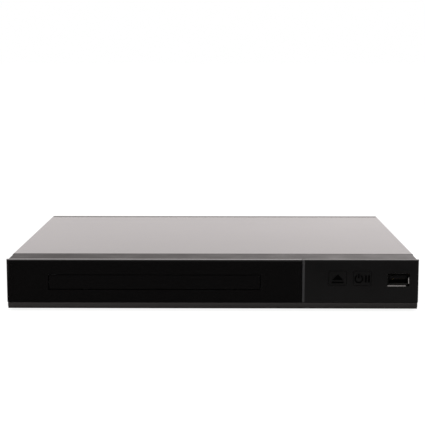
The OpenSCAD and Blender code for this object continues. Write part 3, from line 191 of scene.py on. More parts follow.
def drifting(tree, shader, place, colour, rough, mottle=0.12, patch=9 * MM, spread=0.15):
    """Colour that drifts up and down by the share mottle, in patches, and roughness that drifts by spread, in
    smudges a little over twice as wide."""
    drift = noise(tree, place, patch, 4.0)
    tint = blend(tree, drift, scaled(colour, 1 - mottle), scaled(colour, 1 + mottle))
    feed(tree, shader, "Base Color", tint)
    smudge = noise(tree, place, 2.3 * patch, 5.0, 0.6)
    worn = between(tree, smudge, rough * (1 - spread), rough * (1 + spread), NOISE_LOW, NOISE_HIGH)
    feed(tree, shader, "Roughness", worn)


# ---- Finishes ----

SHINE_START, SHINE_END = -60 * MM, 115 * MM  # from left to right, where a finish grows smoother
PAINTED_SHADE_START, PAINTED_SHADE_END = 10 * MM, 34 * MM  # from low to high, where painted shade darkens a finish
THROAT_SHADE_START, THROAT_SHADE_END = FRONT + 1.6 * MM, FRONT + 2.4 * MM  # where painted shade darkens a socket's metal, in its throat
PAINTED_HIGHLIGHT_HEIGHT = 0.08 * MM  # height of the painted highlight along the top edge of the face's plates


def moulded(name, colour, rough, grain=0.35 * MM, depth=6e-6, top=1.0, rim=0.0, right=1.0, **constants):
    """Moulded plastic with a fine spark-eroded grain. It darkens to top times its colour towards the face's
    top, as painted shade, and smooths to right times its roughness towards the right end. rim is the grey of
    a painted highlight along the top edge of the face's plates."""
    material, tree, shader, place = new_material(name, **constants)
    drifting(tree, shader, place, colour, rough)
    if right < 1:
        ramp = between(tree, along(tree, place, "X"), 1.0, right, SHINE_START, SHINE_END)
        feed(tree, shader, "Roughness", math_node(tree, "MULTIPLY", fed_by(shader, "Roughness"), ramp))
    # painted shade: the colour darkens towards the face's top
    if top < 1:
        rise = between(tree, along(tree, place, "Z"), 0.0, 1.0, PAINTED_SHADE_START, PAINTED_SHADE_END)
        feed(tree, shader, "Base Color", blend(tree, rise, fed_by(shader, "Base Color"), scaled(colour, top)))
    # painted highlight along the top edge of the face's plates
    if rim:
        painted_edge_highlight(tree, shader, place, rim)
    set_bump(tree, shader, noise(tree, place, grain, 2.0), depth)
    return material


def painted_edge_highlight(tree, shader, place, rim):
    """A painted highlight: a paler band along the top of the face's plates."""
    edge = math_node(tree, "GREATER_THAN", along(tree, place, "Z"), PLATE_TOP - PAINTED_HIGHLIGHT_HEIGHT)
    feed(tree, shader, "Base Color", blend(tree, edge, fed_by(shader, "Base Color"), (rim, rim, rim)))


def gloss(name, colour, rough, peel=4 * MM, depth=2e-6, mottle=0.06, rim=0.0, **constants):
    """Polished or painted surface with a very faint orange peel. rim is the grey of a painted highlight along
    the top edge of the face's plates.
    """
    material, tree, shader, place = new_material(name, **constants)
    drifting(tree, shader, place, colour, rough, mottle, patch=60 * MM, spread=0.12)
    # painted highlight along the top edge of the face's plates
    if rim:
        painted_edge_highlight(tree, shader, place, rim)
    set_bump(tree, shader, noise(tree, place, peel, 1.0), depth)
    return material


def brushed(name, colour, rough, squeeze=(1, 40, 40), depth=1.5e-6, inside=1.0, **constants):
    """Metal with a grain along the axis where it is squeezed least. Behind the face it darkens to inside
    times its colour, as painted shade in a socket's throat."""
    material, tree, shader, place = new_material(name, Metallic=1.0, **constants)
    grain = noise(tree, mapped(tree, place, squeeze), 12 * MM, 4.0, 0.65)
    tint = blend(tree, grain, scaled(colour, 0.82), scaled(colour, 1.1))
    # painted shade: the metal darkens behind the face, where a socket's throat lies in shade
    if inside < 1:
        deep = between(tree, along(tree, place, "Y"), 0.8, 1.0, THROAT_SHADE_START, THROAT_SHADE_END)
        tint = blend(tree, deep, tint, scaled(colour, inside))
    feed(tree, shader, "Base Color", tint)
    feed(tree, shader, "Roughness", between(tree, grain, rough * 0.75, rough * 1.35, NOISE_LOW, NOISE_HIGH))
    set_bump(tree, shader, grain, depth)
    return material


def zinc_sheet(name, colour, rough, spangle=7 * MM):
    """Zinc-plated sheet with a soft spangle."""
    material, tree, shader, place = new_material(name, Metallic=1.0)
    crystals = add(tree, "TexVoronoi", {"Vector": place, "Scale": 1 / spangle})
    tint = add(tree, "SeparateColor", {"Color": crystals.outputs["Color"]}).outputs["Red"]
    fine = noise(tree, place, 1.2 * MM)
    shares = math_node(tree, "MULTIPLY", tint, 0.6), math_node(tree, "MULTIPLY", fine, 0.4)
    mixed = math_node(tree, "ADD", *shares)
    feed(tree, shader, "Base Color", blend(tree, mixed, scaled(colour, 0.82), scaled(colour, 1.15)))
    feed(tree, shader, "Roughness", between(tree, mixed, rough * 0.8, rough * 1.3))
    set_bump(tree, shader, fine, 2e-6)
    return material


def rubber(name, colour, rough):
    """Matt rubber with a dusty bloom."""
    material, tree, shader, place = new_material(name)
    drifting(tree, shader, place, colour, rough, mottle=0.25, patch=3 * MM)
    set_bump(tree, shader, noise(tree, place, 0.5 * MM, 4.0, 0.7), 2e-5)
    return material


def circuit_board(name, mask, trace, pitch=1.1 * MM):
    """Solder mask over copper: runs along X in some fields and along Y in others, with round vias."""
    material, tree, shader, place = new_material(name, Coat_Weight=0.3)

    def runs(where, size, gap, brick, row, shift):
        """Runs of copper, which are the joints of a brick wall size metres across."""
        inputs = {"Vector": where, "Scale": 1 / size, "Mortar Size": gap, "Mortar Smooth": 0.2,
                  "Brick Width": brick, "Row Height": row}
        return add(tree, "TexBrick", inputs, offset=shift).outputs["Fac"]

    level = runs(place, 18 * pitch, gap=0.012, brick=0.9, row=0.11, shift=0.37)
    quarter = mapped(tree, place, (1, 1, 1), math.pi / 2)
    upright = runs(quarter, 26 * pitch, gap=0.01, brick=0.6, row=0.08, shift=0.61)
    vias = add(tree, "TexVoronoi", {"Vector": place, "Scale": 1 / (4 * pitch)})
    dots = math_node(tree, "LESS_THAN", vias.outputs["Distance"], 0.12)
    fields = math_node(tree, "GREATER_THAN", noise(tree, place, 16 * MM, 1.0), 0.5)
    copper = math_node(tree, "MAXIMUM", blend(tree, fields, level, upright), dots)
    drifting(tree, shader, place, mask, 0.32)
    feed(tree, shader, "Base Color", blend(tree, copper, fed_by(shader, "Base Color"), trace))
    set_bump(tree, shader, copper, 2.5e-5)
    return material


def ribbon_film(name, colour, line, pitch=1 * MM):
    """Flat cable whose conductors show as lines: along X on the loader's, along Y on the front board's."""
    material, tree, shader, place = new_material(name)
    axes = add(tree, "SeparateXYZ", {"Vector": place}).outputs
    front_cable = math_node(tree, "GREATER_THAN", axes["X"], 60 * MM)
    across = mix(tree, front_cable, axes["Y"], axes["X"])
    saw = math_node(tree, "FRACT", math_node(tree, "MULTIPLY", across, 1 / pitch))
    on = math_node(tree, "GREATER_THAN", saw, 0.45)
    drift = noise(tree, place, 6 * MM)
    film = blend(tree, drift, scaled(colour, 0.92), colour)
    feed(tree, shader, "Base Color", blend(tree, on, film, line))
    feed(tree, shader, "Roughness", between(tree, drift, 0.28, 0.42))
    set_bump(tree, shader, on, 2e-5)
    return material


def banded(name, colour, rings, axis="X", pitch=1.3 * MM):
    """Lacquered part with rings of two colours round one axis."""
    material, tree, shader, place = new_material(name)
    step = math_node(tree, "MULTIPLY", along(tree, place, axis), 1 / pitch)
    on = math_node(tree, "GREATER_THAN", math_node(tree, "FRACT", step), 0.62)
    whole = math_node(tree, "FLOOR", step)
    pick = add(tree, "TexWhiteNoise", {"W": whole}, noise_dimensions="1D").outputs["Value"]
    ring = blend(tree, math_node(tree, "GREATER_THAN", pick, 0.5), *rings)
    drift = noise(tree, place, 3 * MM)
    lacquer = blend(tree, drift, scaled(colour, 0.85), colour)
    feed(tree, shader, "Base Color", blend(tree, on, lacquer, ring))
    feed(tree, shader, "Roughness", between(tree, drift, 0.25, 0.4))
    return material


def coated_lens(name, colour, glow):
    """Dark glass with soft fields of a bright coating."""
    material, tree, shader, place = new_material(name, Coat_Weight=1.0, Coat_Roughness=0.03)
    fields = noise(tree, place, 2.5 * MM, 1.0)
    feed(tree, shader, "Base Color", blend(tree, fields, colour, glow))
    feed(tree, shader, "Roughness", between(tree, noise(tree, place, 2 * MM), 0.12, 0.3))
    return material


ALONG_Y, ALONG_Z, CAST = (8, 1, 8), (20, 20, 1), (1, 1, 1)  # how a metal's grain is squeezed
SOFT = {"Subsurface_Weight": 0.25, "Subsurface_Scale": 0.0015}
FINISH = {  # by the record's slots
    # painted highlight: rim paints a paler band along the top edge of the face's plates
    "gloss_black": gloss("window_gloss", (0.0026, 0.0024, 0.0024), 0.07, rim=0.13, Specular_IOR_Level=0.3),
    # painted shade and painted highlight: top darkens the face's plates towards their top, and rim paints a
    # paler band along their top edge
    "matte_black": moulded("panel_matte", (0.0053, 0.0053, 0.0053), 0.42, grain=0.25 * MM, depth=3e-6,
                           top=0.3, rim=0.18, Specular_IOR_Level=0.17),
    "band_plastic": moulded("band_satin", (0.0232, 0.0212, 0.0206), 0.6, grain=0.4 * MM, depth=8e-6,
                            right=0.64),
    "cover_paint": gloss("cover_lacquer", (0.012, 0.0105, 0.0105), 0.16, peel=1.6 * MM, depth=1.2e-6,
                         Coat_Weight=0.35, Coat_Roughness=0.05, Specular_Tint=(1.0, 0.95, 0.95, 1.0)),
    "trim_grey": moulded("trim_satin", (0.0305, 0.0305, 0.0315), 0.35, grain=0.5 * MM, depth=3e-6),
    "galvanised": zinc_sheet("zinc_sheet", (0.52, 0.53, 0.54), 0.38),
    "bright_steel": brushed("nickel_bright", (0.72, 0.71, 0.69), 0.2, ALONG_Y),
    "screw_black": brushed("screw_zinc", (0.09, 0.09, 0.095), 0.36, CAST),
    "foot_rubber": rubber("foot_rubber", (0.025, 0.025, 0.026), 0.78),
    "damper_rubber": rubber("damper_rubber", (0.1, 0.1, 0.11), 0.7),
    "tray_plastic": moulded("tray_satin", (0.028, 0.028, 0.03), 0.4, grain=0.3 * MM, depth=8e-6),
    "frame_plastic": moulded("frame_moulding", (0.045, 0.045, 0.048), 0.5, grain=0.5 * MM, depth=1.2e-5),
    "acetal": moulded("acetal", (0.78, 0.75, 0.67), 0.38, grain=0.6 * MM, depth=3e-6, **SOFT),
    "brass_gear": brushed("turned_brass", (0.78, 0.56, 0.25), 0.25, ALONG_Z),
    "belt_rubber": rubber("belt_rubber", (0.014, 0.014, 0.014), 0.5),
    "sled_metal": brushed("cast_alloy", (0.4, 0.4, 0.42), 0.45, CAST, depth=8e-6),
    "lens_blue": coated_lens("lens_film", (0.02, 0.03, 0.07), (0.15, 0.26, 0.52)),
    "board_green": circuit_board("board_green", (0.008, 0.075, 0.028), (0.03, 0.2, 0.075)),
    "board_brown": circuit_board("board_brown", (0.3, 0.18, 0.07), (0.42, 0.3, 0.13), pitch=1.6 * MM),
    "chip_black": moulded("chip_epoxy", (0.016, 0.016, 0.017), 0.45, grain=0.2 * MM, depth=4e-6),
    "capacitor_sleeve": gloss("sleeve_film", (0.01, 0.016, 0.06), 0.22, peel=2 * MM),
    "connector_ivory": moulded("nylon_ivory", (0.74, 0.68, 0.55), 0.42, grain=0.5 * MM, depth=4e-6, **SOFT),
    "core_grey": moulded("ferrite", (0.07, 0.07, 0.072), 0.5, grain=0.3 * MM, depth=1.5e-5),
    "sink_aluminium": brushed("extrusion", (0.78, 0.78, 0.8), 0.3, (40, 40, 1)),
    "filter_yellow": gloss("film_box", (0.72, 0.5, 0.12), 0.3, mottle=0.15),
    "ribbon_white": ribbon_film("ribbon_film", (0.8, 0.8, 0.8), (0.5, 0.5, 0.52)),
    "wire_red": gloss("wire_skin", (0.45, 0.02, 0.018), 0.3, peel=1 * MM, mottle=0.15),
    "jack_yellow": gloss("jack_yellow", (0.8, 0.5, 0.012), 0.28, peel=2 * MM),
    "jack_white": gloss("jack_white", (0.78, 0.78, 0.75), 0.28, peel=2 * MM),
    "jack_red": gloss("jack_red", (0.55, 0.014, 0.012), 0.28, peel=2 * MM),
    "tongue_plastic": moulded("tongue_nylon", (0.003, 0.003, 0.0034), 0.4, grain=0.3 * MM, depth=4e-6,
                              Specular_IOR_Level=0.12),
}
OWN = {  # of single pieces, in place of their slot's finish
    "liner": brushed("liner_nickel", (0.28, 0.275, 0.27), 0.28, ALONG_Y),
    # painted shade: the socket's metal darkens behind the face
    "socket_steel": brushed("socket_nickel", (0.16, 0.16, 0.155), 0.3, ALONG_Y, inside=0.08),
    "gold": brushed("contact_gold", (0.9, 0.62, 0.24), 0.25, (1, 10, 10)),
    "ink": gloss("key_ink", (0.0003, 0.0003, 0.0003), 0.3, peel=1 * MM, Specular_IOR_Level=0.05),
    "print": moulded("panel_print", (0.02, 0.02, 0.022), 0.6, grain=0.2 * MM, depth=3e-6),
    "can": brushed("can_aluminium", (0.8, 0.8, 0.81), 0.28, CAST),
    "resistor": banded("resistor_lacquer", (0.5, 0.36, 0.2), rings=((0.3, 0.03, 0.02), (0.02, 0.02, 0.02))),
    "ceramic": moulded("ceramic_tan", (0.42, 0.27, 0.13), 0.5, grain=0.2 * MM, depth=4e-6),
    "stripe": gloss("sleeve_stripe", (0.55, 0.57, 0.62), 0.25, peel=1 * MM),
    "flex": gloss("flex_film", (0.5, 0.24, 0.06), 0.3, peel=3 * MM, mottle=0.2),
}
SLOTS = {part["node"]: part["material_slot"] for part in frame["record"]["subparts"]}
SHELLS = {"usb_shell": OWN["socket_steel"]}  # solids that don't take their slot's finish


# ---- Finishes on the solids ----

def shading_group():
    """A modifier's node group: joins a solid's facets and shades it smooth, except at its edges."""
    group = bpy.data.node_groups.new("shade_by_angle", "GeometryNodeTree")
    for way in ("INPUT", "OUTPUT"):
        group.interface.new_socket("Geometry", in_out=way, socket_type="NodeSocketGeometry")

    def node(kind, **props):
        made = group.nodes.new(kind)
        for key, value in props.items():
            setattr(made, key, value)
        return made

    start, end = node("NodeGroupInput"), node("NodeGroupOutput")
    plain = node("GeometryNodeRemoveAttribute")
    plain.inputs["Name"].default_value = "custom_normal"
    merge = node("GeometryNodeMergeByDistance")
    merge.inputs["Distance"].default_value = WELD
    smooth = node("GeometryNodeSetShadeSmooth", domain="FACE")
    angle = node("GeometryNodeInputMeshEdgeAngle")
    steep = node("FunctionNodeCompare", operation="GREATER_THAN")
    steep.inputs[1].default_value = EDGE
    sharp = node("GeometryNodeSetShadeSmooth", domain="EDGE")
    sharp.inputs["Shade Smooth"].default_value = False
    for a, b in ((start.outputs[0], plain.inputs[0]), (plain.outputs[0], merge.inputs[0]),
                 (merge.outputs[0], smooth.inputs[0]), (smooth.outputs[0], sharp.inputs[0]),
                 (angle.outputs[0], steep.inputs[0]), (steep.outputs[0], sharp.inputs["Selection"]),
                 (sharp.outputs[0], end.inputs[0])):
        group.links.new(a, b)
    return group


def soften(obj, width):
    """Rounds an object's edges."""
    bevel = obj.modifiers.new("edges", "BEVEL")
    bevel.width = width
    bevel.segments = 2
    bevel.limit_method = "ANGLE"
    bevel.angle_limit = EDGE
    bevel.harden_normals = True


SOFT_EDGES = {  # widths of the rounded edges, in millimetres
    "top_cover": 0.2, "front_panel": 0.4, "front_window": 0.03, "control_panel": 0.03, "tray_door": 0.03,
    "eject_key": 0.02, "power_key": 0.02, "divider_trim": 0.12, "tray": 0.2, "rubber_feet": 0.3,
    "bottom_pan": 0.15, "rear_panel": 0.12, "rca_housing": 0.15, "clamp_bridge": 0.15, "loader_frame": 0.15,
    "mains_inlet": 0.15, "board_chips": 0.15, "board_connectors": 0.15, "transformer": 0.2,
    "pickup_sled": 0.15, "traverse_deck": 0.15, "objective_lens": 0.12, "fuse_and_filter": 0.15,
    "power_capacitors": 0.3, "board_capacitors": 0.2, "clamper_cap": 0.2, "loading_motor": 0.2,
    "spindle_motor": 0.2, "feed_motor": 0.2,
}
SHADING = shading_group()
for name, solid in frame["nodes"].items():
    solid.data.materials.clear()
    solid.data.materials.append(SHELLS.get(name, FINISH[SLOTS[name]]))
    if name in SOFT_EDGES:
        solid.modifiers.new("shading", "NODES").node_group = SHADING
        soften(solid, SOFT_EDGES[name] * MM)


# ---- Mesh building ----

# Which of a turned profile's own coordinates become x, y and z, by the axis it is turned about.
AXIS_ORDER = {"X": (2, 0, 1), "Y": (1, 2, 0), "Z": (0, 1, 2)}


def mm(*values):
    """A vector given in millimetres."""
    return Vector(values) * MM


class Shape:
    """A mesh put together from closed solids, in metres in the frame."""

    def __init__(self):
        self.bm = bmesh.new()

    def skin(self, loops, ring=False):
        """Skins a row of point loops of one length, and caps both ends unless it closes on itself."""
        rings = [[self.bm.verts.new(p) for p in loop] for loop in loops]
        count = len(rings[0])
        for low, high in list(zip(rings, rings[1:])) + ([(rings[-1], rings[0])] if ring else []):
            for i in range(count):
                j = (i + 1) % count
                self.bm.faces.new((low[i], low[j], high[j], high[i]))
        if not ring:
            self.bm.faces.new(list(reversed(rings[0])))
            self.bm.faces.new(rings[-1])
        return self

    def box(self, low, high):
        """A box between its lowest and its highest corner."""
        corners = ((low[0], low[1]), (high[0], low[1]), (high[0], high[1]), (low[0], high[1]))
        return self.skin([[(x, y, z) for x, y in corners] for z in (low[2], high[2])])

    def prism(self, outline, depth):
        """A flat outline of points, pushed along the vector depth."""
        return self.skin([outline, [Vector(p) + Vector(depth) for p in outline]])

    def turned(self, profile, centre, axis="Z", segments=32, ring=False):
        """A profile of radius and distance along the axis in millimetres, turned about centre."""
        order = AXIS_ORDER[axis]
        loops = []
        for radius, reach in profile:
            loop = []
            for i in range(segments):
                turn = 2 * math.pi * i / segments
                local = mm(radius * math.cos(turn), radius * math.sin(turn), reach)
                loop.append([centre[k] + local[order[k]] for k in range(3)])
            loops.append(loop)
        return self.skin(loops, ring)

    def wire(self, points, radius, segments=8):
        """A round wire along a list of points."""
        points = [Vector(p) for p in points]
        turns = [2 * math.pi * k / segments for k in range(segments)]
        loops = []
        side = None
        for i, point in enumerate(points):
            ahead = (points[min(i + 1, len(points) - 1)] - points[max(i - 1, 0)]).normalized()
            side = side or ahead.orthogonal()
            side = (side - ahead * side.dot(ahead)).normalized()
            up = ahead.cross(side)
            loops.append([point + radius * (math.cos(a) * side + math.sin(a) * up) for a in turns])
        return self.skin(loops)

    def moved(self, matrix):
        """Moves what is there so far."""
        self.bm.transform(matrix)
        return self

    def piece(self, name, body, slot, own=None, rounding=0.0):
        """Makes the object, gives it its finish, and lets it ride on a body."""
        bmesh.ops.recalc_face_normals(self.bm, faces=self.bm.faces)
        mesh = bpy.data.meshes.new(name)
        self.bm.to_mesh(mesh)
        self.bm.free()
        mesh.materials.append(OWN[own] if own else FINISH[slot])
        mesh.shade_smooth()
        mesh.set_sharp_from_angle(angle=CREASE)
        obj = bpy.data.objects.new(name, mesh)
        bpy.context.scene.collection.objects.link(obj)
        if rounding:
            soften(obj, rounding)
        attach(obj, body)


def lumps(*nodes):
    """The lowest and highest corner of each separate lump of some solids, in order of place."""
    boxes = []
    for node in nodes:
        bm = bmesh.new()
        bm.from_mesh(frame["nodes"][node].data)
        bmesh.ops.remove_doubles(bm, verts=bm.verts, dist=WELD)
        left = set(bm.verts)
        while left:
            stack = [left.pop()]
            low = high = stack[0].co.copy()
            while stack:
                vert = stack.pop()
                low = Vector(map(min, low, vert.co))
                high = Vector(map(max, high, vert.co))
                for edge in vert.link_edges:
                    other = edge.other_vert(vert)
                    if other in left:
                        left.remove(other)
                        stack.append(other)
            boxes.append((low, high))
        bm.free()
    return sorted(boxes, key=lambda b: [round(c, 5) for c in b[0]])


# ---- Face ----

def socket_bezel():
    """A thin plated liner round the memory-stick opening. A bevel along its lower edge stops short of the
    right corner, and a sloping spring tab stands on its right side."""
    low, high = map(Vector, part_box("usb_shell"))
    middle = (low + high) / 2
    half_w, half_h, wall = 7.17 * MM, 4.37 * MM, 0.12 * MM
    lower_bevel, upper_bevel = 0.55 * MM, 0.5 * MM
    slope_start, slope_end = 2.35 * MM, 1.85 * MM  # from the right side: where the lower bevel runs out
    turn = 0.05 * MM  # half the length over which its edge bends at either
    # The liner's section from the face inwards: the share of the wall and the bevels, and millimetres deep.
    section = ((0, 0.1), (0.1, 0.1), (0.85, 0.5), (1, 1.5), (0, 1.5))
    loops = []
    for share, depth in section:
        left, right = middle.x - half_w + share * wall, middle.x + half_w - share * wall
        under, lip = (middle.z - half_h + share * rise for rise in (wall, lower_bevel))
        over = middle.z + half_h - share * upper_bevel
        outline = [(left, lip), (right - slope_start - turn, lip), (right - slope_start + turn, lip),
                   (right - slope_end - turn, under), (right - slope_end + turn, under),
                   (right, under), (right, over), (left, over)]
        loops.append([(x, FRONT + depth * MM, z) for x, z in outline])
    shape = Shape().skin(loops, ring=True)
    tab_x, tab_width = middle.x + half_w - 0.73 * MM, 0.42 * MM
    tab = [(0.3, -2.6), (1.2, 1.1), (1.5, 1.1), (1.5, -2.6)]  # millimetres behind the face, above the middle
    shape.prism([(tab_x, FRONT + y * MM, middle.z + z * MM) for y, z in tab], (tab_width, 0, 0))
    shape.piece("usb_bezel", "root", "bright_steel", own="liner")


def arc(centre, inner, outer, start, end, count=28):
    """The outline of a broken ring in the plane of the face: radii in millimetres, angles in degrees from
    the top."""
    turns = [math.radians(start + (end - start) * i / count) for i in range(count + 1)]
    points = [(outer, t) for t in turns] + [(inner, t) for t in reversed(turns)]
    return [centre + mm(r * math.sin(t), 0, r * math.cos(t)) for r, t in points]


def key_marks():
    """Ink in the engraved marks: a triangle over a bar, and a broken ring with a stroke beside two bars."""
    ink_depth, ink_thickness = 0.09 * MM, mm(0, 0.2, 0)
    for key in ("eject_key", "power_key"):
        low, high = map(Vector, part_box(key))
        middle = Vector(((low.x + high.x) / 2, FRONT + ink_depth, (low.z + high.z) / 2))
        shape = Shape()

        def spot(x, z):
            """A point in millimetres from the key's middle."""
            return middle + mm(x, 0, z)

        def bar(x0, x1, z0, z1):
            shape.prism([spot(x0, z0), spot(x1, z0), spot(x1, z1), spot(x0, z1)], ink_thickness)

        if key == "eject_key":
            half, base, tip = 3.93, -1.27, 2.65
            shape.prism([spot(-half, base), spot(half, base), spot(0, tip)], ink_thickness)
            bar(-3.97, 3.97, -3.37, -2.23)
        else:
            ring_x, ring_z, gap = -2.2, -0.4, 28
            shape.prism(arc(spot(ring_x, ring_z), 1.93, 2.87, gap, 360 - gap), ink_thickness)
            bar(ring_x - 0.47, ring_x + 0.47, 0.03, 3.17)
            for left in (1.83, 3.83):
                bar(left, left + 1.14, -2.87, 2.07)
        shape.piece(key.replace("key", "mark"), key, "gloss_black", own="ink")


# ---- Back and sockets ----

# Millimetres, as places for at().
STICK_Z = 21.4  # the memory-stick socket's middle
VIDEO_X, VIDEO_Z = 55, 12.7  # the digital video socket's middle
PHONO_X, PHONO_Z = (70, 84, 98), 16.8  # the phono sockets' middles


def socket_contacts():
    """Contact strips on the tongues of the front and back sockets, and sleeves in the three round ones."""
    low, high = map(Vector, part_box("usb_tongue"))
    under = (STICK_Z + 0.2) * MM  # the tongue's lower side
    shape = Shape()
    for offset in (-3.5, -1, 1, 3.5):
        middle = (low.x + high.x) / 2 + offset * MM
        shape.box((middle - 0.5 * MM, low.y + 0.3 * MM, under - 0.12 * MM),
                  (middle + 0.5 * MM, high.y - 2 * MM, under + 0.03 * MM))
    shape.piece("usb_contacts", "root", "brass_gear", own="gold")
    shape = Shape()
    count, pitch, half_w, half_h = 19, 0.56, 0.15, 0.05
    for i in range(count):
        x = VIDEO_X + (i - count // 2) * pitch
        z = VIDEO_Z + (0.1 if i % 2 else 1.1)  # by turns under and over the tongue
        shape.box(at(x - half_w, 191.5, z - half_h), at(x + half_w, 199.2, z + half_h))
    shape.piece("hdmi_contacts", "root", "brass_gear", own="gold")
    shape = Shape()
    sleeve = [(1.56, 0), (1.56, 12.5), (1.3, 12.7), (1.15, 12.5), (1.15, 0)]
    for x in PHONO_X:
        shape.turned(sleeve, at(x, 193.7, PHONO_Z), "Y", ring=True)
    shape.piece("rca_contacts", "root", "brass_gear", own="gold")


def back_print():
    """Frames and small pointers printed round the sockets on the rear panel."""
    shape = Shape()
    y, thick, line = 199.22, mm(0, 0.02, 0), 0.35

    def rule(x0, x1, z0, z1):
        shape.prism([at(x0, y, z0), at(x1, y, z0), at(x1, y, z1), at(x0, y, z1)], thick)

    def rounded_frame(x0, x1, z0, z1, r=1.6, steps=6):
        corners = ((x1 - r, z1 - r, 0), (x0 + r, z1 - r, 90), (x0 + r, z0 + r, 180), (x1 - r, z0 + r, 270))
        loops = []
        for radius in (r, r + line):
            loop = []
            for cx, cz, start in corners:
                for i in range(steps + 1):
                    turn = math.radians(start + 90 * i / steps)
                    loop.append(at(cx + radius * math.cos(turn), y, cz + radius * math.sin(turn)))
            loops.append(loop)
        inner, outer = loops
        shape.skin([inner, outer, [p + thick for p in outer], [p + thick for p in inner]], ring=True)

    left, right, bottom, top = 45.6, 105.4, 7.2, 25.2
    rounded_frame(left, right, bottom, top)
    divider = 63.1
    rule(divider, divider + line, bottom, top)
    rounded_frame(107.2, 130.8, 6.2, 22.8)  # round the mains inlet
    for x in (VIDEO_X, *PHONO_X):
        shape.prism([at(x - 1.1, y, 23.2), at(x + 1.1, y, 23.2), at(x, y, 24.4)], thick)
    shape.piece("back_print", "root", "chip_black", own="print")


# ---- Boards ----

POWER_PARTS = ("power_capacitors", "transformer", "heat_sink", "fuse_and_filter")
BOARD_PARTS = ("board_chips", "board_capacitors", "board_connectors", "board_screws", "rca_housing",
               "hdmi_shell", "mains_inlet", "power_wires") + POWER_PARTS
STANDS_WITHIN = 3 * MM  # a lump that starts this close to the board takes room on it
GRID = 0.5 * MM
TRIES = 60
SUNK = -0.2  # where leads end, in millimetres from the board's top


class Board:
    """Finds free places on a board for small parts, the same ones each time."""

    def __init__(self, node, seed):
        self.low, self.high = map(Vector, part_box(node))
        self.random = random.Random(seed)
        self.taken = [b for b in lumps(*BOARD_PARTS) if b[0].z < BOARD_TOP + STANDS_WITHIN]

    def place(self, width, depth, gap=0.6 * MM):
        """The middle of a free place on the board's top, or None."""
        w, d = width / 2 + gap, depth / 2 + gap
        for _ in range(TRIES):
            x = self.random.uniform(self.low.x + w, self.high.x - w)
            y = self.random.uniform(self.low.y + d, self.high.y - d)
            x, y = round(x / GRID) * GRID, round(y / GRID) * GRID
            if all(x + w < a.x or x - w > b.x or y + d < a.y or y - d > b.y for a, b in self.taken):
                self.taken.append((Vector((x - w, y - d, 0)), Vector((x + w, y + d, 0))))
                return Vector((x, y, BOARD_TOP))
        return None

    def places(self, count, width, depth):
        """Free places for up to count parts of one size."""
        found = (self.place(width, depth) for _ in range(count))
        return [place for place in found if place is not None]


def chip_legs():
    """Gull-wing legs: on four sides of the large square chip, and on the long sides of the others."""
    ends, flanks = [(1, 0), (-1, 0)], [(0, 1), (0, -1)]
    legs = Shape()
    for low, high in lumps("board_chips"):
        size = high - low
        square = abs(size.x - size.y) < 1 * MM
        sides = ends + flanks if square else ends if size.y > size.x else flanks
        pitch, width = (0.8 * MM, 0.32 * MM) if square else (1.27 * MM, 0.4 * MM)
        foot, thick, rise = 0.02, 0.15, size.z * 0.5 / MM
        # A leg's side view, in millimetres out of the chip and up from the board.
        outline = [(-0.1, rise), (0.35, rise), (0.6, foot), (1.1, foot), (1.1, foot + thick),
                   (0.7, foot + thick), (0.45, rise + thick), (-0.1, rise + thick)]
        middle = Vector(((low.x + high.x) / 2, (low.y + high.y) / 2, low.z))
        for nx, ny in sides:
            out, side = Vector((nx, ny, 0)), Vector((-ny, nx, 0))
            reach, run = (size.x, size.y) if nx else (size.y, size.x)
            count = int((run - 1.2 * MM) / pitch) + 1
            for i in range(count):
                root = middle + out * reach / 2 + side * (i - (count - 1) / 2) * pitch
                legs.prism([root + out * far * MM + mm(0, 0, up) - side * width / 2 for far, up in outline],
                           side * width)
    legs.piece("chip_legs", "root", "bright_steel")


# Millimetres.
CHIP_SIZES = ((2, 1.25, 0.5), (1.6, 0.8, 0.45), (2, 1.25, 0.9))  # length, width and height
CERAMIC = 2  # the one of these that is a ceramic capacitor
CAP, PLATING = 0.28, 0.03  # length of the bright ends, and how far they stand proud


def surface_parts(board, name, count):
    """Small resistors and ceramic capacitors with bright ends."""
    ends, blacks, tans = Shape(), Shape(), Shape()
    for i in range(count):
        kind = i % len(CHIP_SIZES)
        length, width, height = CHIP_SIZES[kind]
        upright = board.random.random() < 0.5
        lx, ly = (width, length) if upright else (length, width)
        middle = board.place(lx * MM, ly * MM)
        if middle is None:
            continue
        body = tans if kind == CERAMIC else blacks
        bx, by = (lx / 2, ly / 2 - CAP) if upright else (lx / 2 - CAP, ly / 2)
        body.box(middle + mm(-bx, -by, 0), middle + mm(bx, by, height))
        for s in (-1, 1):
            ex, ey = (0, s * (ly - CAP) / 2) if upright else (s * (lx - CAP) / 2, 0)
            hx, hy = (lx / 2, CAP / 2) if upright else (CAP / 2, ly / 2)
            hx, hy = hx + PLATING, hy + PLATING
            ends.box(middle + mm(ex - hx, ey - hy, 0), middle + mm(ex + hx, ey + hy, height + PLATING))
    ends.piece(name + "_ends", "root", "bright_steel", own="can")
    blacks.piece(name + "_resistors", "root", "chip_black")
    tans.piece(name + "_ceramics", "root", "connector_ivory", own="ceramic")


def crystals(board):
    """Two low metal cans with a rolled rim."""
    # Half the length, the round ends' radius and the height of each loop, in millimetres.
    sections = ((5.5, 2.3, 0), (5.5, 2.3, 0.5), (5.1, 1.9, 0.55), (5.1, 1.9, 3), (4.8, 1.6, 3.4))
    shape = Shape()
    for middle in board.places(2, 11 * MM, 5 * MM):
        loops = []
        for half_l, radius, z in sections:
            loop = []
            for end in (1, -1):
                for k in range(9):
                    turn = math.radians(-90 + 22.5 * k)
                    x, y = half_l - radius + radius * math.cos(turn), radius * math.sin(turn)
                    loop.append(middle + mm(end * x, end * y, z))
            loops.append(loop)
        shape.skin(loops)
    shape.piece("crystal_cans", "root", "bright_steel", own="can")


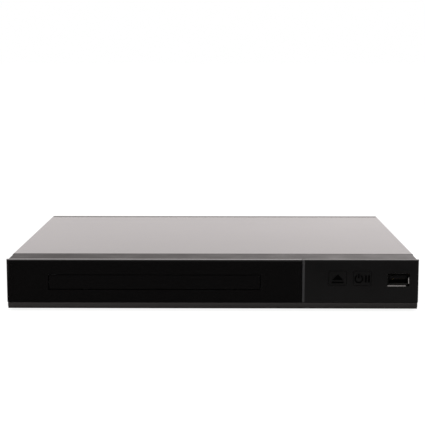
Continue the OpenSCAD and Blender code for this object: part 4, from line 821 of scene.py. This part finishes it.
def capacitor_ends():
    """Aluminium ends with a pressed cross, and a pale stripe down each sleeve."""
    stripe_in, stripe_out, stripe_foot, stripe_gap = 0.2 * MM, 0.05 * MM, 0.4 * MM, 0.9 * MM
    cross_long, cross_half, cross_high = 0.62, 0.12 * MM, 0.12 * MM  # the first as a share of the radius
    stripe_turns = [math.radians(-115 + 5 * k) for k in range(9)]
    tops, stripes = Shape(), Shape()
    for low, high in lumps("board_capacitors", "power_capacitors"):
        middle = (low + high) / 2
        radius = (high.x - low.x) / 2
        top = Vector((middle.x, middle.y, high.z))
        wide = radius / MM
        tops.turned([(wide * 0.84, -0.1), (wide * 0.84, 0.08), (wide * 0.72, 0.14), (wide * 0.7, 0.05)], top)
        for turn in (0, math.pi / 2):
            a = Vector((math.cos(turn), math.sin(turn), 0)) * radius * cross_long
            b = Vector((-math.sin(turn), math.cos(turn), 0)) * cross_half
            tops.prism([top - a - b, top + a - b, top + a + b, top - a + b], (0, 0, cross_high))
        foot = Vector((middle.x, middle.y, low.z + stripe_foot))
        inner, outer = ([foot + r * Vector((math.cos(t), math.sin(t), 0)) for t in stripe_turns]
                        for r in (radius - stripe_in, radius + stripe_out))
        stripes.prism(inner + outer[::-1], (0, 0, high.z - low.z - stripe_gap))
    tops.piece("capacitor_tops", "root", "bright_steel", own="can")
    stripes.piece("capacitor_stripes", "root", "ribbon_white", own="stripe")


def through_parts(board):
    """Axial resistors on bent leads, and disc capacitors on two legs."""
    axial = [(0.5, -3.3), (1.15, -3), (1.2, -2.2), (1, -1.7), (1, 1.7), (1.2, 2.2), (1.15, 3), (0.5, 3.3)]
    disc = [(0.6, -1.3), (2.4, -1.1), (3.2, -0.4), (3.2, 0.4), (2.4, 1.1), (0.6, 1.3)]
    # Bends of a lead, in millimetres out from the part's middle and up from the board.
    axial_lead, disc_lead = ((3, 1.5), (4.4, 1.5), (5, 1), (5.1, SUNK)), ((2, 3.9), (2.4, 2.2), (2.4, SUNK))
    bodies, leads, discs = Shape(), Shape(), Shape()

    def pair_of_leads(foot, bends):
        for s in (-1, 1):
            leads.wire([foot + mm(s * out, 0, up) for out, up in bends], 0.3 * MM)

    for foot in board.places(9, 11 * MM, 2.6 * MM):
        bodies.turned(axial, foot + mm(0, 0, 1.5), "X", 20)
        pair_of_leads(foot, axial_lead)
    for foot in board.places(6, 7 * MM, 3 * MM):
        discs.turned(disc, foot + mm(0, 0, 5.4), "Y", 28)
        pair_of_leads(foot, disc_lead)
    bodies.piece("axial_resistors", "root", "filter_yellow", own="resistor")
    discs.piece("disc_capacitors", "root", "filter_yellow", own="ceramic")
    leads.piece("part_leads", "root", "bright_steel", own="can")


def heat_sink_switch():
    """A power switch on three legs, with its tab against the heat sink."""
    low, high = map(Vector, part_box("heat_sink"))
    foot = Vector((low.x, (low.y + high.y) / 2, BOARD_TOP))  # under the middle of the sink's left side
    body, metal = Shape(), Shape()
    body_outline = [(-1.3, -5), (-4.4, -4.7), (-4.4, 4.7), (-1.3, 5)]
    body.prism([foot + mm(x, y, 4) for x, y in body_outline], mm(0, 0, 8.5))
    tab_outline = [(-0.05, -5), (-1.3, -5), (-1.3, 5), (-0.05, 5)]
    metal.prism([foot + mm(x, y, 4.5) for x, y in tab_outline], mm(0, 0, 12.5))
    screw_head = [(3, 0), (3, -1), (2.4, -1.5), (1, -1.6)]
    metal.turned(screw_head, foot + mm(-1.2, 0, 14.6), "X", 24)
    for leg_y in (-2.54, 0, 2.54):
        metal.wire([foot + mm(-2.6, leg_y, 4.2), foot + mm(-2.6, leg_y, SUNK)], 0.4 * MM)
    body.piece("switch_body", "root", "chip_black", rounding=0.2 * MM)
    metal.piece("switch_tab", "root", "bright_steel", own="can")


def winding_tape():
    """Layers of tape round the transformer's winding, and its pins."""
    low, high = map(Vector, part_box("transformer"))
    foot = Vector(((low.x + high.x) / 2, (low.y + high.y) / 2, BOARD_TOP))
    tape, pins = Shape(), Shape()
    inner = 4.6
    for start, end, outer in ((-8.4, 8.4, 4.94), (-6, 2, 4.97)):
        tape.turned([(inner, start), (outer, start), (outer, end), (inner, end)], foot + mm(0, 0, 8), "Y", 40,
                    ring=True)
    tape.piece("winding_tape", "root", "filter_yellow")
    pin_pitch, pins_a_side = 3.6, 4
    for s in (-1, 1):
        for i in range(pins_a_side):
            pin = foot + mm(s * 9.5, (i - (pins_a_side - 1) / 2) * pin_pitch, 0)
            pins.wire([pin + mm(0, 0, 0.6), pin + mm(s * 3.1, 0, 0.6), pin + mm(s * 3.3, 0, SUNK)], 0.35 * MM)
    pins.piece("transformer_pins", "root", "bright_steel", own="can")


def fuse_caps():
    """Plated caps on the fuse's ends."""
    cap = [(2.4, 0), (2.68, 0.1), (2.72, 0.4), (2.72, 3.6), (2.66, 3.9), (2.4, 3.9)]
    shape = Shape()
    for y in (37.2, 49):
        shape.turned(cap, at(121, y, 13.6), "Y", 32, ring=True)
    shape.piece("fuse_caps", "root", "bright_steel")


# ---- Traverse ----

HINGE = at(0, 157, 12.5)
DROP = math.radians(3.8)
PARKED = Matrix.Translation(HINGE) @ Matrix.Rotation(DROP, 4, "X") @ Matrix.Translation(-HINGE)
# Millimetres, as places for at(), with the traverse in its playing position. PARKED swings them down to rest.
DISC_X, SPINDLE_Y, LENS_Y = -38, 72, 97
TURNTABLE_TOP, LENS_TOP, FLEX_TOP = 21.38, 19.88, 17.75


def traverse_details():
    """The turntable's grip ring, the lens, and the pickup's flexible circuit with its plug."""
    grip = [(11.05, -0.24), (13.45, -0.24), (13.45, -0.06), (13.2, 0), (11.3, 0), (11.05, -0.06)]
    ring = Shape().turned(grip, at(DISC_X, SPINDLE_Y, TURNTABLE_TOP), "Z", 64, ring=True)
    ring.moved(PARKED).piece("grip_ring", "turntable", "belt_rubber")
    radius, crown = 1.36, 0.42
    turns = [math.radians(a) for a in range(0, 86, 12)]
    dome = [(radius, -0.1)] + [(radius * math.cos(t), crown * math.sin(t)) for t in turns]
    glass = Shape().turned(dome, at(DISC_X, LENS_Y, LENS_TOP), "Z", 40)
    glass.moved(PARKED).piece("lens_glass", "lens", "lens_blue")
    flex_bottom = FLEX_TOP - 0.17
    flex = Shape().box(at(DISC_X - 11, 105.4, flex_bottom), at(DISC_X + 11, 113.6, FLEX_TOP))
    flex.box(at(DISC_X - 6, 104.6, flex_bottom), at(DISC_X + 6, 105.4, FLEX_TOP))
    flex.moved(PARKED).piece("pickup_flex", "pickup", "filter_yellow", own="flex")
    plug_bottom = FLEX_TOP - 0.01
    plug = Shape().box(at(DISC_X - 6, 109.5, plug_bottom), at(DISC_X + 6, 112.3, 18.7))
    plug.box(at(DISC_X - 6.6, 110.2, plug_bottom), at(DISC_X + 6.6, 111.6, 18.4))
    for x in (DISC_X - 9, DISC_X + 8.6):  # studs that hold the film
        plug.turned([(1.1, 0), (1.1, 0.5), (0.8, 0.62), (0.3, 0.5)], at(x, 107.5, plug_bottom))
    plug.moved(PARKED).piece("pickup_plug", "pickup", "connector_ivory", rounding=0.08 * MM)


socket_bezel()
key_marks()
socket_contacts()
back_print()
chip_legs()
main_side = Board("main_board", seed=5)
crystals(main_side)
surface_parts(main_side, "main", 96)
power_side = Board("power_board", seed=9)
through_parts(power_side)
surface_parts(power_side, "power", 18)
capacitor_ends()
heat_sink_switch()
winding_tape()
fuse_caps()
traverse_details()


# ---- Studio ----

WHITE = (1, 1, 1, 1)
FLOOR_SIZE = 60
PAPER = 0.85  # how pale the floor is to the light that falls on it
FLOOR_GLOW, FLOOR_SHADE = 0.885, 0.21  # what the camera sees: mostly glow, and a part that takes shadows
CARD, CARD_BACK = 0.06, 0.05  # strength in reflections in front of the face, and where it is white again
SKY = (1.0, 0.945, 0.94, 1)
SKY_LIGHT = 0.62  # strength of the light that falls on the player
SKY_LEFT, SKY_RIGHT, SKY_TURN = 1.01, 1.1, 0.12  # strength in reflections, and the width of the change


def light_path(tree):
    """Factors for rays from the camera, and for rays in gloss or glass."""
    path = add(tree, "LightPath").outputs
    mirror_ray = math_node(tree, "MAXIMUM", path["Is Glossy Ray"], path["Is Transmission Ray"])
    return path["Is Camera Ray"], mirror_ray


def stage_floor():
    """A pale floor that runs out of sight. It is white to the camera, keeps the player's shadow, and lies
    darker in front of the face for reflections, as a dark card on the table does."""
    bpy.ops.mesh.primitive_plane_add(size=FLOOR_SIZE, location=(0, 0, 0))
    floor = bpy.context.object
    floor.name = "floor"
    material = bpy.data.materials.new("floor")
    material.use_nodes = True
    tree = material.node_tree
    tree.nodes.clear()
    camera_ray, mirror_ray = light_path(tree)
    depth = along(tree, add(tree, "TexCoord").outputs["Object"], "Y")
    card = between(tree, depth, CARD, 1.0, FRONT, CARD_BACK)
    glow = add(tree, "Emission", {"Color": WHITE, "Strength": FLOOR_GLOW})
    faint = add(tree, "BsdfDiffuse", {"Color": (FLOOR_SHADE, FLOOR_SHADE, FLOOR_SHADE, 1)})
    paper = add(tree, "BsdfDiffuse", {"Color": (PAPER, PAPER, PAPER, 1)})
    seen = add(tree, "AddShader", {0: glow.outputs[0], 1: faint.outputs[0]})
    mirrored = add(tree, "Emission", {"Color": WHITE, "Strength": card})
    lit = add(tree, "MixShader", {0: camera_ray, 1: paper.outputs[0], 2: seen.outputs[0]})
    both = add(tree, "MixShader", {0: mirror_ray, 1: lit.outputs[0], 2: mirrored.outputs[0]})
    add(tree, "OutputMaterial", {"Surface": both.outputs[0]})
    floor.data.materials.append(material)


def stage_world():
    """White surroundings, a little dimmer for the light that falls on the player, and a little brighter in
    its gloss on the right."""
    world = bpy.data.worlds.new("studio")
    bpy.context.scene.world = world
    world.use_nodes = True
    tree = world.node_tree
    tree.nodes.clear()
    camera_ray, mirror_ray = light_path(tree)
    side = along(tree, add(tree, "TexCoord").outputs["Generated"], "X")
    bright = between(tree, side, SKY_LEFT, SKY_RIGHT, -SKY_TURN, SKY_TURN)
    sky = add(tree, "Background", {"Color": SKY, "Strength": mix(tree, mirror_ray, SKY_LIGHT, bright)})
    white = add(tree, "Background", {"Color": WHITE, "Strength": 1.0})
    mixed = add(tree, "MixShader", {0: camera_ray, 1: sky.outputs[0], 2: white.outputs[0]})
    add(tree, "OutputWorld", {"Surface": mixed.outputs[0]})


def softbox(name, place, size, power):
    """A round soft lamp that points at the player and doesn't show in its gloss."""
    light = bpy.data.lights.new(name, "AREA")
    light.shape = "DISK"
    light.size = size
    light.energy = power
    lamp = bpy.data.objects.new(name, light)
    lamp.location = place
    lamp.rotation_euler = (-Vector(place)).to_track_quat("-Z", "Y").to_euler()
    lamp.visible_glossy = False
    bpy.context.scene.collection.objects.link(lamp)


stage_floor()
stage_world()
softbox("key", place=(-0.9, -0.9, 1.3), size=1.0, power=9)
softbox("fill", place=(1.1, -0.5, 0.9), size=1.2, power=4)
softbox("back", place=(0.3, 1.2, 1.2), size=1.2, power=5)
bpy.context.scene.view_settings.view_transform = "Standard"
